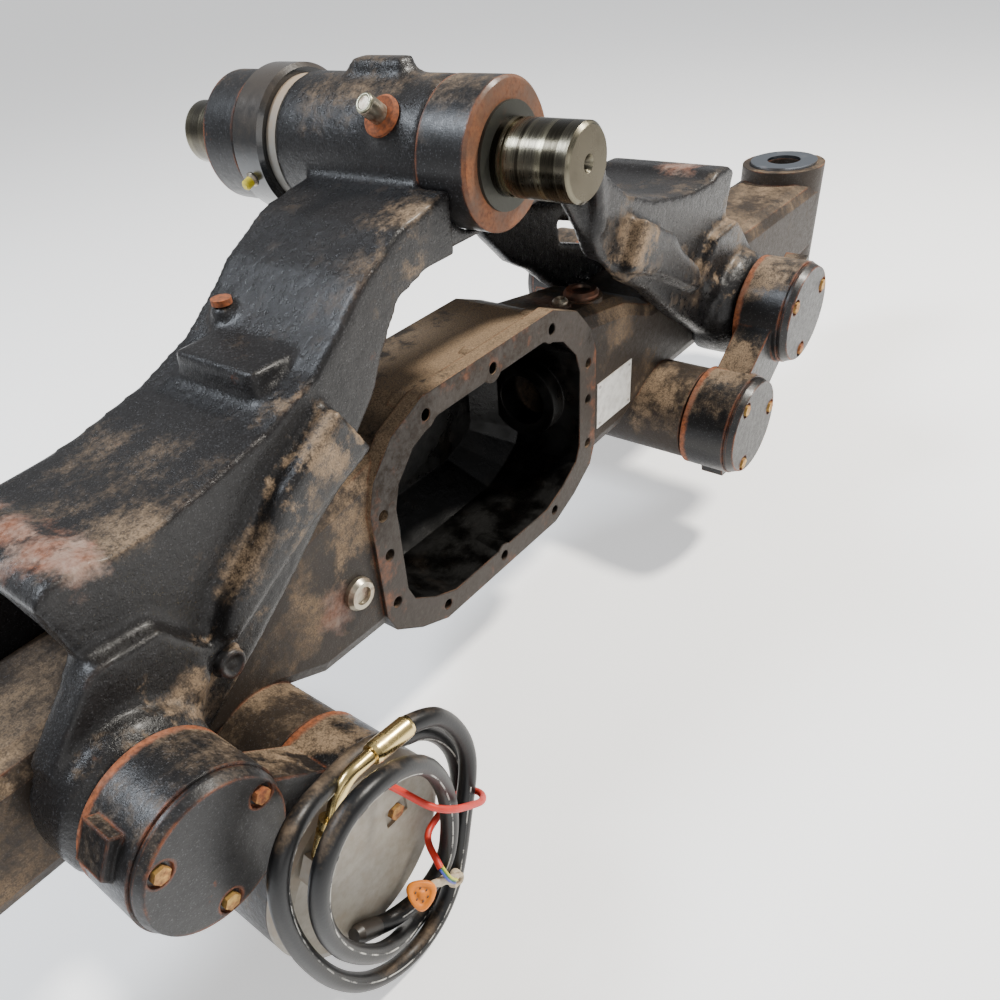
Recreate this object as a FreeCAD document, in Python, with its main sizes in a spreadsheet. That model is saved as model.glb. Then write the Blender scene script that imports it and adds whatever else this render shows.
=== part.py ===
"""Suspended drive-axle beam: a saddle on a trunnion pin carries the axle housing on short links."""

import FreeCAD
import Part
import Sketcher
import math
import os

os.makedirs("parts", exist_ok=True)
doc = FreeCAD.newDocument("axle_beam")
sheet = doc.addObject("Spreadsheet::Sheet", "dims")
V = FreeCAD.Vector


class Size:
    """A length or angle that carries its number and its spreadsheet formula."""

    def __init__(self, value, text):
        self.value = float(value)
        self.text = text

    def __float__(self):
        return self.value

    def __add__(self, other):
        other = size(other)
        return Size(self.value + other.value, f"({self.text} + {other.text})")

    def __sub__(self, other):
        other = size(other)
        return Size(self.value - other.value, f"({self.text} - {other.text})")

    def __mul__(self, other):
        other = size(other)
        return Size(self.value * other.value, f"({self.text} * {other.text})")

    def __truediv__(self, other):
        other = size(other)
        return Size(self.value / other.value, f"({self.text} / {other.text})")

    def __neg__(self):
        return Size(-self.value, f"(-1 * {self.text})")

    def __radd__(self, other):
        return size(other) + self

    def __rsub__(self, other):
        return size(other) - self

    def __rmul__(self, other):
        return size(other) * self


def size(value):
    """The value as a Size."""
    return value if isinstance(value, Size) else Size(value, repr(float(value)))


def turned_x(radius, degrees):
    """First coordinate of a point on a circle."""
    radius, degrees = size(radius), size(degrees)
    return Size(radius.value * math.cos(math.radians(degrees.value)),
                f"({radius.text} * cos({degrees.text} * 1deg))")


def turned_z(radius, degrees):
    """Second coordinate of a point on a circle."""
    radius, degrees = size(radius), size(degrees)
    return Size(radius.value * math.sin(math.radians(degrees.value)),
                f"({radius.text} * sin({degrees.text} * 1deg))")


VALUES = {
    # trunnion
    "pin_height": 312.9, "pin_radius": 30.2, "pin_front": 174.0, "pin_rear": 305.0,
    "pin_chamfer": 3.0, "pin_groove_at": 112.0, "pin_groove_depth": 1.6,
    "pin_groove_half": 2.0, "pin_centre_hole": 7.0,
    "boss_radius": 59.4, "boss_front": 46.0, "boss_rear": 128.0,
    "collar_front": 97.0, "front_seal_radius": 42.0, "front_seal_step": 3.0,
    "rear_seal_thick": 12.0, "rear_seal_radius": 57.0, "bearing_radius": 66.0,
    "bearing_length": 38.0, "shim_thick": 9.0, "shim_radius": 56.0, "rear_collar_length": 45.0,
    "lug_height": 12.5, "lug_width": 24.0, "lug_front": 4.0, "lug_length": 77.0,
    "port_angle": 37.0, "port_at": 7.0, "port_radius": 17.0, "port_step": 7.0,
    "fitting_radius": 8.5, "fitting_length": 20.0,
    "nipple_angle": -19.0, "nipple_at": 164.0, "nipple_radius": 5.0, "nipple_length": 9.0,
    # saddle
    "arm_reach": 497.0, "arm_top": 178.0, "shoulder_top": 302.0, "top_wall": 15.0,
    "saddle_front": 80.0, "saddle_rear": 85.0, "hollow_half": 67.0, "arch_top": 150.0,
    "end_wall": 27.0, "web_recess": 12.0, "web_right": 165.0,
    "rib_rise": 24.0, "edge_rise": 11.0, "leg_radius": 67.0, "leg_face_radius": 55.0,
    "leg_face": 124.1, "leg_flare": 14.0,
    "arm_plug_out": 210.0, "arm_plug_at": 52.0, "arm_plug_seat": 241.0, "arm_plug_radius": 9.0,
    "pad_at": 247.0, "pad_width": 50.0, "pad_length": 100.0, "pad_top": 225.0,
    "recess_at": 394.0, "recess_height": 58.0, "recess_radius": 16.0, "recess_depth": 9.0,
    "window_left": 322.0, "window_right": 410.0, "window_top": 136.0, "window_height": 34.0,
    # linkage
    "yoke_pivot_out": 495.1, "yoke_pivot_height": 6.0,
    "axle_pivot_out": 367.0, "axle_pivot_drop": 96.2,
    "link_pin_radius": 24.0, "pin_play": 0.05, "open_play": 2.3, "bush_radius": 32.0,
    "face_gap": 0.3, "link_back": 128.1, "link_front": 185.5,
    "link_boss_radius": 64.0, "web_inset": 7.0, "web_half": 40.0,
    "cover_thick": 12.1, "cover_radius": 62.0, "cover_bevel": 3.3, "pin_end_gap": 3.0,
    "cover_bolt_circle": 48.0, "cover_bolt_head": 7.0, "cover_head_height": 5.0,
    "cover_recess": 3.0, "cover_bolt_seat": 10.0,
    "sensor_radius": 97.0, "sensor_out": 383.0, "sensor_drop": 135.0, "sensor_cover_thick": 17.5,
    # housing
    "flange_front": 67.5, "flange_thick": 18.0, "flange_half": 194.0, "flange_top": 136.0,
    "flange_inset": 7.0, "bolt_side": 177.5, "bolt_mid": 104.2, "bolt_mid_rise": 116.0,
    "bolt_top": 117.0, "bolt_side_high": 45.8, "bolt_side_low": 59.6, "bolt_hole_radius": 6.25,
    "bolt_hole_depth": 30.0, "bolt_boss_radius": 15.0, "opening_half": 160.0,
    "opening_rise": 108.0, "drum_rear": 60.0, "dome_rear": 118.0, "cavity_rear": 62.0,
    "shaft_boss_radius": 46.0, "shaft_boss_face": 138.0, "barrel_flat": 52.0,
    "arm_half_depth": 62.0, "arm_half_height": 61.0, "arm_corner": 20.0,
    "shoulder_out": 335.0, "shoulder_rise": 108.0, "shoulder_drop": 92.0,
    "shaft_bore_radius": 31.0, "kingpin_out": 871.4, "barrel_radius": 62.0,
    "barrel_half": 80.0, "kingpin_bore_radius": 25.0, "kingpin_ring_radius": 50.0,
    "kingpin_ring_thick": 4.3, "axle_boss_radius": 60.0, "axle_pin_inner": 66.0,
    "fill_seat": 97.0, "breather_seat": 103.0, "plug_rim": 4.0,
    "fill_plug_out": 237.0, "fill_plug_at": 20.0, "fill_plug_radius": 21.0,
    "breather_out": 192.0, "breather_at": 20.0, "breather_radius": 9.0,
    "level_plug_out": 222.0, "level_plug_drop": 18.0, "level_plug_radius": 17.0,
    "plate_out": 247.0, "plate_drop": 26.0, "plate_width": 80.0, "plate_height": 60.0,
    "plate_thick": 1.0,
    # hose and cable
    "hose_radius": 8.25, "cable_radius": 3.2, "elbow_radius": 6.0, "ferrule_radius": 9.5,
    "nut_radius": 10.5, "fitting_lift": 10.5, "coil_out": 381.0, "coil_drop": 115.0,
    "coil_half_width": 107.0, "coil_half_height": 152.0, "coil_inner_width": 62.0,
    "coil_inner_height": 98.0, "coil_thick": 20.0, "coil_at": 229.0, "coil_lean": 3.6,
}
DERIVED = {
    "journal_reach": "(pin_front - pin_chamfer + pin_groove_at + pin_groove_half) / 2",
    "seal_rear": "boss_rear + rear_seal_thick",
    "bearing_rear": "seal_rear + bearing_length",
    "shim_rear": "bearing_rear + shim_thick",
    "collar_rear": "shim_rear + rear_collar_length",
    "washer_front": "link_back - face_gap",
    "cover_front": "link_front + cover_thick",
    "sensor_front": "link_front + sensor_cover_thick",
}


def fill_sheet():
    """Write every driving size, then the sizes that follow from them."""
    row = 0
    for alias, value in VALUES.items():
        row += 1
        sheet.set(f"A{row}", alias)
        sheet.set(f"B{row}", str(value))
        sheet.setAlias(f"B{row}", alias)
    doc.recompute()
    for alias, formula in DERIVED.items():
        row += 1
        sheet.set(f"A{row}", alias)
        sheet.set(f"B{row}", "=" + formula)
        sheet.setAlias(f"B{row}", alias)
        doc.recompute()
    return {alias: Size(sheet.get(alias), "dims." + alias) for alias in (*VALUES, *DERIVED)}


fill = fill_sheet()


class Dims:
    """Every named size as an attribute."""


D = Dims()
D.__dict__.update(fill)


def bind(obj, prop, value):
    """Tie a property to the sheet when the value comes from it."""
    if isinstance(value, Size) and "dims." in value.text:
        obj.setExpression(prop, value.text)


def turn(axis, angle):
    """A turn about an axis, kept with its formula."""
    return axis, size(angle)


def place(obj, x=0.0, y=0.0, z=0.0, rotation=None):
    """Place an object at a point of the beam: the origin is the middle of the front journal."""
    x, y, z = size(x), D.journal_reach + size(y), size(z) - D.pin_height
    axis, angle = rotation or turn(V(0, 0, 1), 0.0)
    obj.Placement = FreeCAD.Placement(V(x.value, y.value, z.value),
                                      FreeCAD.Rotation(axis, angle.value))
    bind(obj, "Placement.Rotation.Angle", angle)
    bind(obj, "Placement.Base.x", x)
    bind(obj, "Placement.Base.y", y)
    bind(obj, "Placement.Base.z", z)
    return obj


def new_body(name, x=0.0, y=0.0, z=0.0, rotation=None):
    """A named body."""
    body = doc.addObject("PartDesign::Body", name)
    body.Label = name
    return place(body, x, y, z, rotation)


def plane(body, role):
    """One of the body's own origin planes."""
    return [item for item in body.Origin.OriginFeatures if item.Role == role][0]


def hold_point(held, index, corner, x, z):
    """Note the two coordinates that hold a sketch point."""
    for kind, axis, value in (("DistanceX", -2, size(x)), ("DistanceY", -1, size(z))):
        if abs(value.value) < 1e-9 and "dims." not in value.text:
            held.append((Sketcher.Constraint("PointOnObject", index, corner, axis), 0.0))
        else:
            held.append((Sketcher.Constraint(kind, -1, 1, index, corner, value.value), value))


def sketch_on(body, role, offset, loops=(), circles=()):
    """A sketch with closed loops of points and circles (x, z, radius)."""
    sketch = body.newObject("Sketcher::SketchObject", f"{body.Name}_sketch")
    sketch.AttachmentSupport = [(plane(body, role), "")]
    sketch.MapMode = "FlatFace"
    offset = size(offset)
    sketch.AttachmentOffset = FreeCAD.Placement(V(0, 0, offset.value), FreeCAD.Rotation())
    bind(sketch, "AttachmentOffset.Base.z", offset)
    lines, held = [], []
    for loop in loops:
        first, count = len(lines), len(loop)
        for number in range(count):
            a, b = loop[number], loop[(number + 1) % count]
            lines.append(Part.LineSegment(V(float(a[0]), float(a[1]), 0),
                                          V(float(b[0]), float(b[1]), 0)))
            following = first + (number + 1) % count
            held.append((Sketcher.Constraint("Coincident", first + number, 2, following, 1), 0.0))
            hold_point(held, first + number, 1, *loop[number])
    for x, z, radius in circles:
        radius, number = size(radius), len(lines)
        lines.append(Part.Circle(V(float(x), float(z), 0), V(0, 0, 1), radius.value))
        hold_point(held, number, 3, x, z)
        held.append((Sketcher.Constraint("Radius", number, radius.value), radius))
    sketch.addGeometry(lines, False)
    sketch.addConstraint([constraint for constraint, value in held])
    for number, (constraint, value) in enumerate(held):
        bind(sketch, f"Constraints[{number}]", value)
    return sketch


def swept(body, kind, role, start, end, loops=(), circles=()):
    """Pad or pocket between two distances along the plane's axis."""
    start, end = size(start), size(end)
    along = -1 if role == "XZ_Plane" else 1
    flip = (kind == "Pocket")
    sketch = sketch_on(body, role, start * along, loops, circles)
    feature = body.newObject(f"PartDesign::{kind}", f"{body.Name}_{kind.lower()}")
    feature.Profile = sketch
    length = end - start
    feature.Type = "Length"
    feature.Length = length.value
    bind(feature, "Length", length)
    feature.Reversed = (along < 0) != flip
    return feature


def pad_y(body, start, end, loops=(), circles=()):
    """Material between two Y values."""
    return swept(body, "Pad", "XZ_Plane", start, end, loops, circles)


def cut_y(body, start, end, loops=(), circles=()):
    """A cut between two Y values."""
    return swept(body, "Pocket", "XZ_Plane", start, end, loops, circles)


def pad_x(body, start, end, loops=(), circles=()):
    """Material between two X values."""
    return swept(body, "Pad", "YZ_Plane", start, end, loops, circles)


def cut_x(body, start, end, loops=(), circles=()):
    """A cut between two X values."""
    return swept(body, "Pocket", "YZ_Plane", start, end, loops, circles)


def pad_z(body, start, end, loops=(), circles=()):
    """Material between two Z values."""
    return swept(body, "Pad", "XY_Plane", start, end, loops, circles)


def cut_z(body, start, end, loops=(), circles=()):
    """A cut between two Z values."""
    return swept(body, "Pocket", "XY_Plane", start, end, loops, circles)


def loft(body, kind, role, sections):
    """Loft through (distance, loop) sections."""
    along = -1 if role == "XZ_Plane" else 1
    sketches = [sketch_on(body, role, size(at) * along, [loop]) for at, loop in sections]
    feature = body.newObject(f"PartDesign::{kind}Loft", f"{body.Name}_loft")
    feature.Profile = sketches[0]
    feature.Sections = sketches[1:]
    feature.Ruled = True
    return feature


def revolve(body, points, kind="Revolution", role="YZ_Plane"):
    """Turn a half profile of (along, radius) points about the sketch's first axis."""
    sketch = sketch_on(body, role, 0.0, [points])
    feature = body.newObject(f"PartDesign::{kind}", f"{body.Name}_turn")
    feature.Profile = sketch
    feature.ReferenceAxis = (sketch, ["H_Axis"])
    feature.Angle = 360.0
    return feature


def ring(name, x, z, start, end, outer, inner, bevel=0.0):
    """A ring about a line along Y, from start to end, with a bevelled front rim."""
    body = new_body(name, x, 0.0, z)
    outer, inner, bevel = size(outer), size(inner), size(bevel)
    points = [(start, inner)]
    if bevel.value > 0:
        points += [(start, outer - bevel), (start + bevel, outer)]
    else:
        points += [(start, outer)]
    points += [(end, outer), (end, inner)]
    revolve(body, points)
    return body


def rod(name, x, z, start, end, radius, bevel=2.0):
    """A solid pin about a line along Y with both ends bevelled."""
    body = new_body(name, x, 0.0, z)
    radius = size(radius)
    points = [(start, 0.0), (start, radius - bevel), (start + bevel, radius),
              (end - bevel, radius), (end, radius - bevel), (end, 0.0)]
    revolve(body, points)
    return body


def group(name, members):
    """Several equal separate pieces kept as one sub-part."""
    for member in members:
        member.Label = member.Name + "_piece"
    both = doc.addObject("Part::Compound", name)
    both.Label = name
    both.Links = members
    return both


def mirror_x(points):
    """The outline given for the right side, closed over both sides."""
    return list(points) + [(-size(x), z) for x, z in reversed(points)]


SIDES = ((-1, "left"), (1, "right"))


def yoke():
    """The saddle casting: pin boss, two hollow arms, four legs and their ribs."""
    body = new_body("yoke")
    top = [(60.0, D.shoulder_top), (120.0, D.shoulder_top - 11), (170.0, D.shoulder_top - 37),
           (200.0, D.shoulder_top - 62), (235.0, D.shoulder_top - 86),
           (290.0, D.shoulder_top - 107), (370.0, D.arm_top + 1), (440.0, D.arm_top - 3),
           (452.0, D.arm_top + 4), (D.arm_reach - 12, D.arm_top + 2), (D.arm_reach, D.arm_top - 8)]
    end = [(D.arm_reach - 12, 118.0), (D.arm_reach + 6, 102.0), (D.yoke_pivot_out + 50, 60.0),
           (D.yoke_pivot_out + 40, D.yoke_pivot_height), (D.yoke_pivot_out - 40, -30.0)]
    low = [(425.0, -12.0), (390.0, 12.0), (350.0, 38.0), (300.0, 75.0), (265.0, 103.0),
           (223.0, 127.0), (177.0, 170.0), (157.0, 204.0), (132.0, 237.0), (92.0, 249.0),
           (54.0, 248.0)]
    pad_y(body, -D.saddle_front, D.saddle_rear, [mirror_x(top + end + low)])
    hollow = [(60.0, D.shoulder_top - D.top_wall), (120.0, D.shoulder_top - 11 - D.top_wall),
              (170.0, D.shoulder_top - 38 - D.top_wall), (200.0, D.shoulder_top - 64 - D.top_wall),
              (235.0, D.shoulder_top - 88 - D.top_wall), (290.0, D.shoulder_top - 108 - D.top_wall),
              (370.0, D.arm_top - D.top_wall), (D.arm_reach - D.end_wall, D.arm_top - 4 - D.top_wall),
              (D.arm_reach - D.end_wall, -90.0)]
    cut_y(body, -D.hollow_half + D.web_recess, D.hollow_half, [mirror_x(hollow)])
    for side in (-1, 1):
        outer = [(side * x, z) for x, z in (
            (190.0, D.shoulder_top - 55 - D.top_wall), (235.0, D.shoulder_top - 88 - D.top_wall),
            (290.0, D.shoulder_top - 108 - D.top_wall), (370.0, D.arm_top - D.top_wall),
            (D.arm_reach - D.end_wall, D.arm_top - 4 - D.top_wall),
            (D.arm_reach - D.end_wall, -90.0), (190.0, -90.0))]
        cut_y(body, -D.hollow_half, -D.hollow_half + D.web_recess + 1, [outer])
    arch = [(-D.hollow_half, -90.0), (-D.hollow_half, D.arch_top - 48),
            (-D.hollow_half + 6, D.arch_top - 28), (-D.hollow_half + 20, D.arch_top - 10),
            (-D.hollow_half + 40, D.arch_top), (D.hollow_half - 40, D.arch_top),
            (D.hollow_half - 20, D.arch_top - 10), (D.hollow_half - 6, D.arch_top - 28),
            (D.hollow_half, D.arch_top - 48), (D.hollow_half, -90.0)]
    cut_x(body, D.arm_reach - D.end_wall - 1, D.arm_reach + 90, [arch])
    cut_x(body, -D.arm_reach - 90, -D.arm_reach + D.end_wall + 1, [arch])
    for side in (-1, 1):
        band = [(236.0, 193.0), (304.0, 157.0), (330.0, 129.0), (372.0, 98.0), (392.0, 68.0),
                (440.0, 52.0), (459.0, 20.0), (281.0, 116.0), (207.0, 145.0)]
        pad_y(body, -D.saddle_front - D.rib_rise, -D.saddle_front + 1,
              [[(side * x, z) for x, z in band]])
        edge = [(212.0, 143.0), (281.0, 117.0), (462.0, 22.0), (425.0, -12.0), (390.0, 12.0),
                (350.0, 38.0), (300.0, 75.0), (265.0, 103.0), (223.0, 127.0)]
        pad_y(body, -D.saddle_front - D.edge_rise, -D.saddle_front + 1,
              [[(side * x, z) for x, z in edge]])
        web = [(400.0, 70.0), (430.0, 112.0), (D.arm_reach - 12, 117.0), (D.arm_reach + 6, 101.0),
               (D.yoke_pivot_out + 49, 60.0), (D.yoke_pivot_out, D.yoke_pivot_height),
               (430.0, D.yoke_pivot_height)]
        pad_y(body, -D.saddle_front - D.edge_rise - 6, -D.saddle_front + 1,
              [[(side * x, z) for x, z in web]])
        pad_y(body, D.saddle_rear - 1, D.saddle_rear + D.edge_rise,
              [[(side * x, z) for x, z in web]])
    fin = [(D.web_right - 6, 240.0), (D.web_right - 10, 268.0), (D.web_right + 12, 268.0),
           (D.web_right + 18, 196.0), (D.web_right + 8, 192.0)]
    pad_y(body, -D.saddle_front - 7, -D.saddle_front + 1, [fin])
    cut_y(body, -D.saddle_front - 1, -D.saddle_front + D.web_recess,
          [[(-D.boss_radius + 3, 225.0), (-D.boss_radius + 3, D.shoulder_top + 20),
            (D.web_right - 30, D.shoulder_top + 20), (D.web_right, 262.0), (D.web_right, 180.0)]])
    leg_boss(body, -1)
    leg_boss(body, 1)
    cut_y(body, -D.saddle_front - 1, -D.boss_front,
          circles=[(0.0, D.pin_height, D.boss_radius)])
    pad_y(body, -D.boss_front, D.boss_rear, circles=[(0.0, D.pin_height, D.boss_radius)])
    lug_top = D.pin_height + D.boss_radius + D.lug_height
    pad_x(body, D.lug_width * -0.5, D.lug_width * 0.5,
          [[(-D.lug_front, D.pin_height + D.boss_radius - 8), (D.lug_front, lug_top),
            (D.lug_length - D.lug_front * 4, lug_top),
            (D.lug_length, D.pin_height + D.boss_radius - 8)]])
    pad_z(body, 190.0, D.pad_top,
          [[(-D.pad_at - D.pad_width / 2, D.pad_length * -0.5),
            (-D.pad_at + D.pad_width / 2, D.pad_length * -0.5),
            (-D.pad_at + D.pad_width / 2, D.pad_length * 0.5),
            (-D.pad_at - D.pad_width / 2, D.pad_length * 0.5)]])
    pad_z(body, 222.0, D.arm_plug_seat,
          circles=[(-D.arm_plug_out, D.arm_plug_at, D.arm_plug_radius + 3)])
    for side in (-1, 1):
        cut_y(body, -D.saddle_front - D.rib_rise - 1, -D.saddle_front - D.rib_rise + D.recess_depth,
              circles=[(side * D.recess_at, D.recess_height, D.recess_radius)])
        cut_y(body, D.hollow_half - 2, D.saddle_rear + 2,
              [[(side * D.window_left, D.window_top + 11), (side * D.window_right, D.window_top - 18),
                (side * D.window_right, D.window_top - 18 - D.window_height * 0.82),
                (side * (D.window_left + 6), D.window_top + 11 - D.window_height * 0.85)]])
    seat(body, D.port_angle, -D.port_at, D.port_radius + 2, D.boss_radius + 2)
    cut_y(body, -D.boss_front - 1, D.boss_rear + 1, circles=[(0.0, D.pin_height, D.pin_radius)])
    reach = D.leg_face + 1
    for start, end in ((-reach, -D.hollow_half + 1), (D.hollow_half - 1, reach)):
        cut_y(body, start, end, circles=[
            (-D.yoke_pivot_out, D.yoke_pivot_height, D.link_pin_radius),
            (D.yoke_pivot_out, D.yoke_pivot_height, D.link_pin_radius)])
    return body


def seat(body, angle, at, radius, reach):
    """A round spot face that stands out to a radius from the pin's axis."""
    boss = body.newObject("PartDesign::AdditiveCylinder", f"{body.Name}_seat")
    radius, reach, start = size(radius), size(reach), D.boss_radius - 14
    x, z = turned_x(start, 180 - angle), D.pin_height + turned_z(start, angle)
    tilt = 90 - angle
    boss.Radius, boss.Height = radius.value, (reach - start).value
    boss.Placement = FreeCAD.Placement(V(x.value, float(at), z.value),
                                       FreeCAD.Rotation(V(0, -1, 0), tilt.value))
    bind(boss, "Radius", radius)
    bind(boss, "Height", reach - start)
    bind(boss, "Placement.Base.x", x)
    bind(boss, "Placement.Base.y", size(at))
    bind(boss, "Placement.Base.z", z)
    bind(boss, "Placement.Rotation.Angle", tilt)


def leg_boss(body, side):
    """A flared boss on the front and the rear leg at one end of the saddle."""
    for front in (-1, 1):
        wall = D.hollow_half
        body_x = side * D.yoke_pivot_out
        steps = [(D.leg_face - D.leg_flare, D.leg_radius), (D.leg_face, D.leg_face_radius)]
        sign = 1 if front > 0 else -1
        start, end = (wall, steps[0][0]) if sign > 0 else (-steps[0][0], -wall)
        pad_y(body, start, end, circles=[(body_x, D.yoke_pivot_height, D.leg_radius)])
        cone(body, body_x, D.yoke_pivot_height, sign * steps[0][0], steps[0][1],
             sign * steps[1][0], steps[1][1])


def cone(body, x, z, at, radius, end, end_radius):
    """A tapering boss between two Y values, as a loft of two circles."""
    sketches = [sketch_on(body, "XZ_Plane", -size(y), circles=[(x, z, r)])
                for y, r in ((at, radius), (end, end_radius))]
    feature = body.newObject("PartDesign::AdditiveLoft", f"{body.Name}_cone")
    feature.Profile = sketches[0]
    feature.Sections = [sketches[1]]
    feature.Ruled = True
    return feature


def outline(half, rise, inset=0.0):
    """The banjo's twelve-cornered outline with its corners cut, pulled in by an inset."""
    half, rise, inset = size(half), size(rise), size(inset)
    a, b = half - inset, rise - inset
    right = [(a * 0.55, b), (a * 0.79, b * 0.86), (a * 0.95, b * 0.62), (a, b * 0.4),
             (a, b * -0.5), (a * 0.95, b * -0.68), (a * 0.76, b * -0.86), (a * 0.55, b * -0.985)]
    return mirror_x(right)


def arm_section(depth, top, drop, corner):
    """A box section with its corners rounded off in two steps."""
    depth, top, drop, corner = size(depth), size(top), size(drop), size(corner)
    near, far = corner * 0.3, corner
    return [(depth, top - far), (depth - near, top - near), (depth - far, top),
            (-depth + far, top), (-depth + near, top - near), (-depth, top - far),
            (-depth, -drop + far), (-depth + near, -drop + near), (-depth + far, -drop),
            (depth - far, -drop), (depth - near, -drop + near), (depth, -drop + far)]


def axle_housing():
    """The axle casting: banjo with its open flange, box arms, kingpin barrels and link bosses."""
    body = new_body("axle_housing")
    front = -D.flange_front
    pad_y(body, front, front + D.flange_thick, [outline(D.flange_half, D.flange_top)])
    pad_y(body, front + D.flange_thick - 1, D.drum_rear,
          [outline(D.flange_half, D.flange_top, D.flange_inset)])
    loft(body, "Additive", "XZ_Plane",
         [(D.drum_rear, outline(D.flange_half, D.flange_top, D.flange_inset)),
          (D.dome_rear - 18, outline(D.flange_half, D.flange_top, D.flange_inset + 24)),
          (D.dome_rear, outline(D.flange_half, D.flange_top, D.flange_inset + 52))])
    arm = arm_section(D.arm_half_depth, D.arm_half_height, D.arm_half_height, D.arm_corner)
    shoulder = arm_section(D.arm_half_depth, D.shoulder_rise, D.shoulder_drop, D.arm_corner)
    pad_x(body, -D.kingpin_out, D.kingpin_out, [arm])
    for side in (-1, 1):
        loft(body, "Additive", "YZ_Plane",
             [(side * (D.flange_half - 44), shoulder), (side * (D.shoulder_out - 60), arm_section(
                 D.arm_half_depth, D.arm_half_height + 24, D.shoulder_drop - 4, D.arm_corner)),
              (side * D.shoulder_out, arm)])
        pad_z(body, -D.barrel_half, D.barrel_half,
              circles=[(side * D.kingpin_out, 0.0, D.barrel_radius)])
        pad_y(body, -D.leg_face, D.leg_face,
              circles=[(side * D.axle_pivot_out, -D.axle_pivot_drop, D.axle_boss_radius)])
    cavity = outline(D.opening_half, D.opening_rise)
    loft(body, "Subtractive", "XZ_Plane",
         [(front - 0.5, cavity), (D.cavity_rear * 0.3, outline(D.opening_half, D.opening_rise, 6.0)),
          (D.cavity_rear, outline(D.opening_half, D.opening_rise, 46.0))])
    for side in (-1, 1):
        near, far = side * D.shaft_boss_face, side * (D.shaft_boss_face + 40)
        pad_x(body, min(near, far, key=float), max(near, far, key=float),
              circles=[(0.0, 0.0, D.shaft_boss_radius)])
        cut_x(body, *sorted((side * (D.kingpin_out + D.barrel_flat),
                             side * (D.kingpin_out + D.barrel_radius + 5)), key=float),
              [[(-D.barrel_radius, -D.barrel_half - 5), (D.barrel_radius, -D.barrel_half - 5),
                (D.barrel_radius, D.barrel_half + 5), (-D.barrel_radius, D.barrel_half + 5)]])
    pad_z(body, 40.0, D.fill_seat,
          circles=[(D.fill_plug_out, -D.fill_plug_at, D.fill_plug_radius + D.plug_rim)])
    pad_z(body, 40.0, D.breather_seat,
          circles=[(D.breather_out, -D.breather_at, D.breather_radius + D.plug_rim)])
    bosses = [(x, z, D.bolt_boss_radius) for x, z in (
        (D.bolt_mid, D.bolt_mid_rise), (-D.bolt_mid, D.bolt_mid_rise), (D.bolt_mid, -D.bolt_mid_rise),
        (-D.bolt_mid, -D.bolt_mid_rise), (0.0, D.bolt_top), (0.0, -D.bolt_top))]
    pad_y(body, front, front + D.bolt_hole_depth + 6, circles=bosses)
    holes = [(x, z, D.bolt_hole_radius) for x, z in (
        (D.bolt_mid, D.bolt_mid_rise), (-D.bolt_mid, D.bolt_mid_rise), (D.bolt_mid, -D.bolt_mid_rise),
        (-D.bolt_mid, -D.bolt_mid_rise), (0.0, D.bolt_top), (0.0, -D.bolt_top),
        (D.bolt_side, D.bolt_side_high), (-D.bolt_side, D.bolt_side_high), (D.bolt_side, 0.0),
        (-D.bolt_side, 0.0), (D.bolt_side, -D.bolt_side_low), (-D.bolt_side, -D.bolt_side_low))]
    cut_y(body, front - 1, front + D.bolt_hole_depth, circles=holes)
    ends = D.kingpin_out + D.barrel_radius + 1
    cut_x(body, -ends, ends, circles=[(0.0, 0.0, D.shaft_bore_radius)])
    cut_z(body, -D.barrel_half - 1, D.barrel_half + 1, circles=[
        (-D.kingpin_out, 0.0, D.kingpin_bore_radius), (D.kingpin_out, 0.0, D.kingpin_bore_radius)])
    for start, end in ((-D.leg_face - 1, -D.axle_pin_inner), (D.axle_pin_inner, D.leg_face + 1)):
        cut_y(body, start, end, circles=[
            (-D.axle_pivot_out, -D.axle_pivot_drop, D.link_pin_radius),
            (D.axle_pivot_out, -D.axle_pivot_drop, D.link_pin_radius)])
    return body


def trunnion():
    """The trunnion pin and what is stacked on it."""
    pin = new_body("trunnion_pin", 0.0, 0.0, D.pin_height)
    front, bevel, radius = -D.pin_front, D.pin_chamfer, D.pin_radius
    groove, relief = -D.pin_groove_at, D.collar_rear + D.pin_groove_half * 2
    depth, half = D.pin_groove_depth, D.pin_groove_half
    revolve(pin, [(front + 12, 0.0), (front, D.pin_centre_hole), (front, radius - bevel),
                  (front + bevel, radius), (groove - half, radius), (groove - half, radius - depth),
                  (groove + half, radius - depth), (groove + half, radius),
                  (relief - half, radius), (relief - half, radius - depth),
                  (relief + half, radius - depth), (relief + half, radius),
                  (D.pin_rear - bevel, radius), (D.pin_rear, radius - bevel), (D.pin_rear, 0.0)])
    ring("front_collar", 0.0, D.pin_height, -D.collar_front, -D.boss_front, D.boss_radius,
         D.pin_radius, 2.5)
    ring("front_seal_ring", 0.0, D.pin_height, -D.collar_front - D.front_seal_step,
         -D.collar_front, D.front_seal_radius, D.pin_radius)
    ring("rear_seal_ring", 0.0, D.pin_height, D.boss_rear, D.seal_rear, D.rear_seal_radius,
         D.pin_radius)
    ring("rear_bearing_ring", 0.0, D.pin_height, D.seal_rear, D.bearing_rear,
         D.bearing_radius, D.pin_radius, 4.0)
    ring("rear_shim", 0.0, D.pin_height, D.bearing_rear, D.shim_rear, D.shim_radius, D.pin_radius)
    ring("rear_collar", 0.0, D.pin_height, D.shim_rear, D.collar_rear,
         D.boss_radius, D.pin_radius, 2.0)


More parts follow.
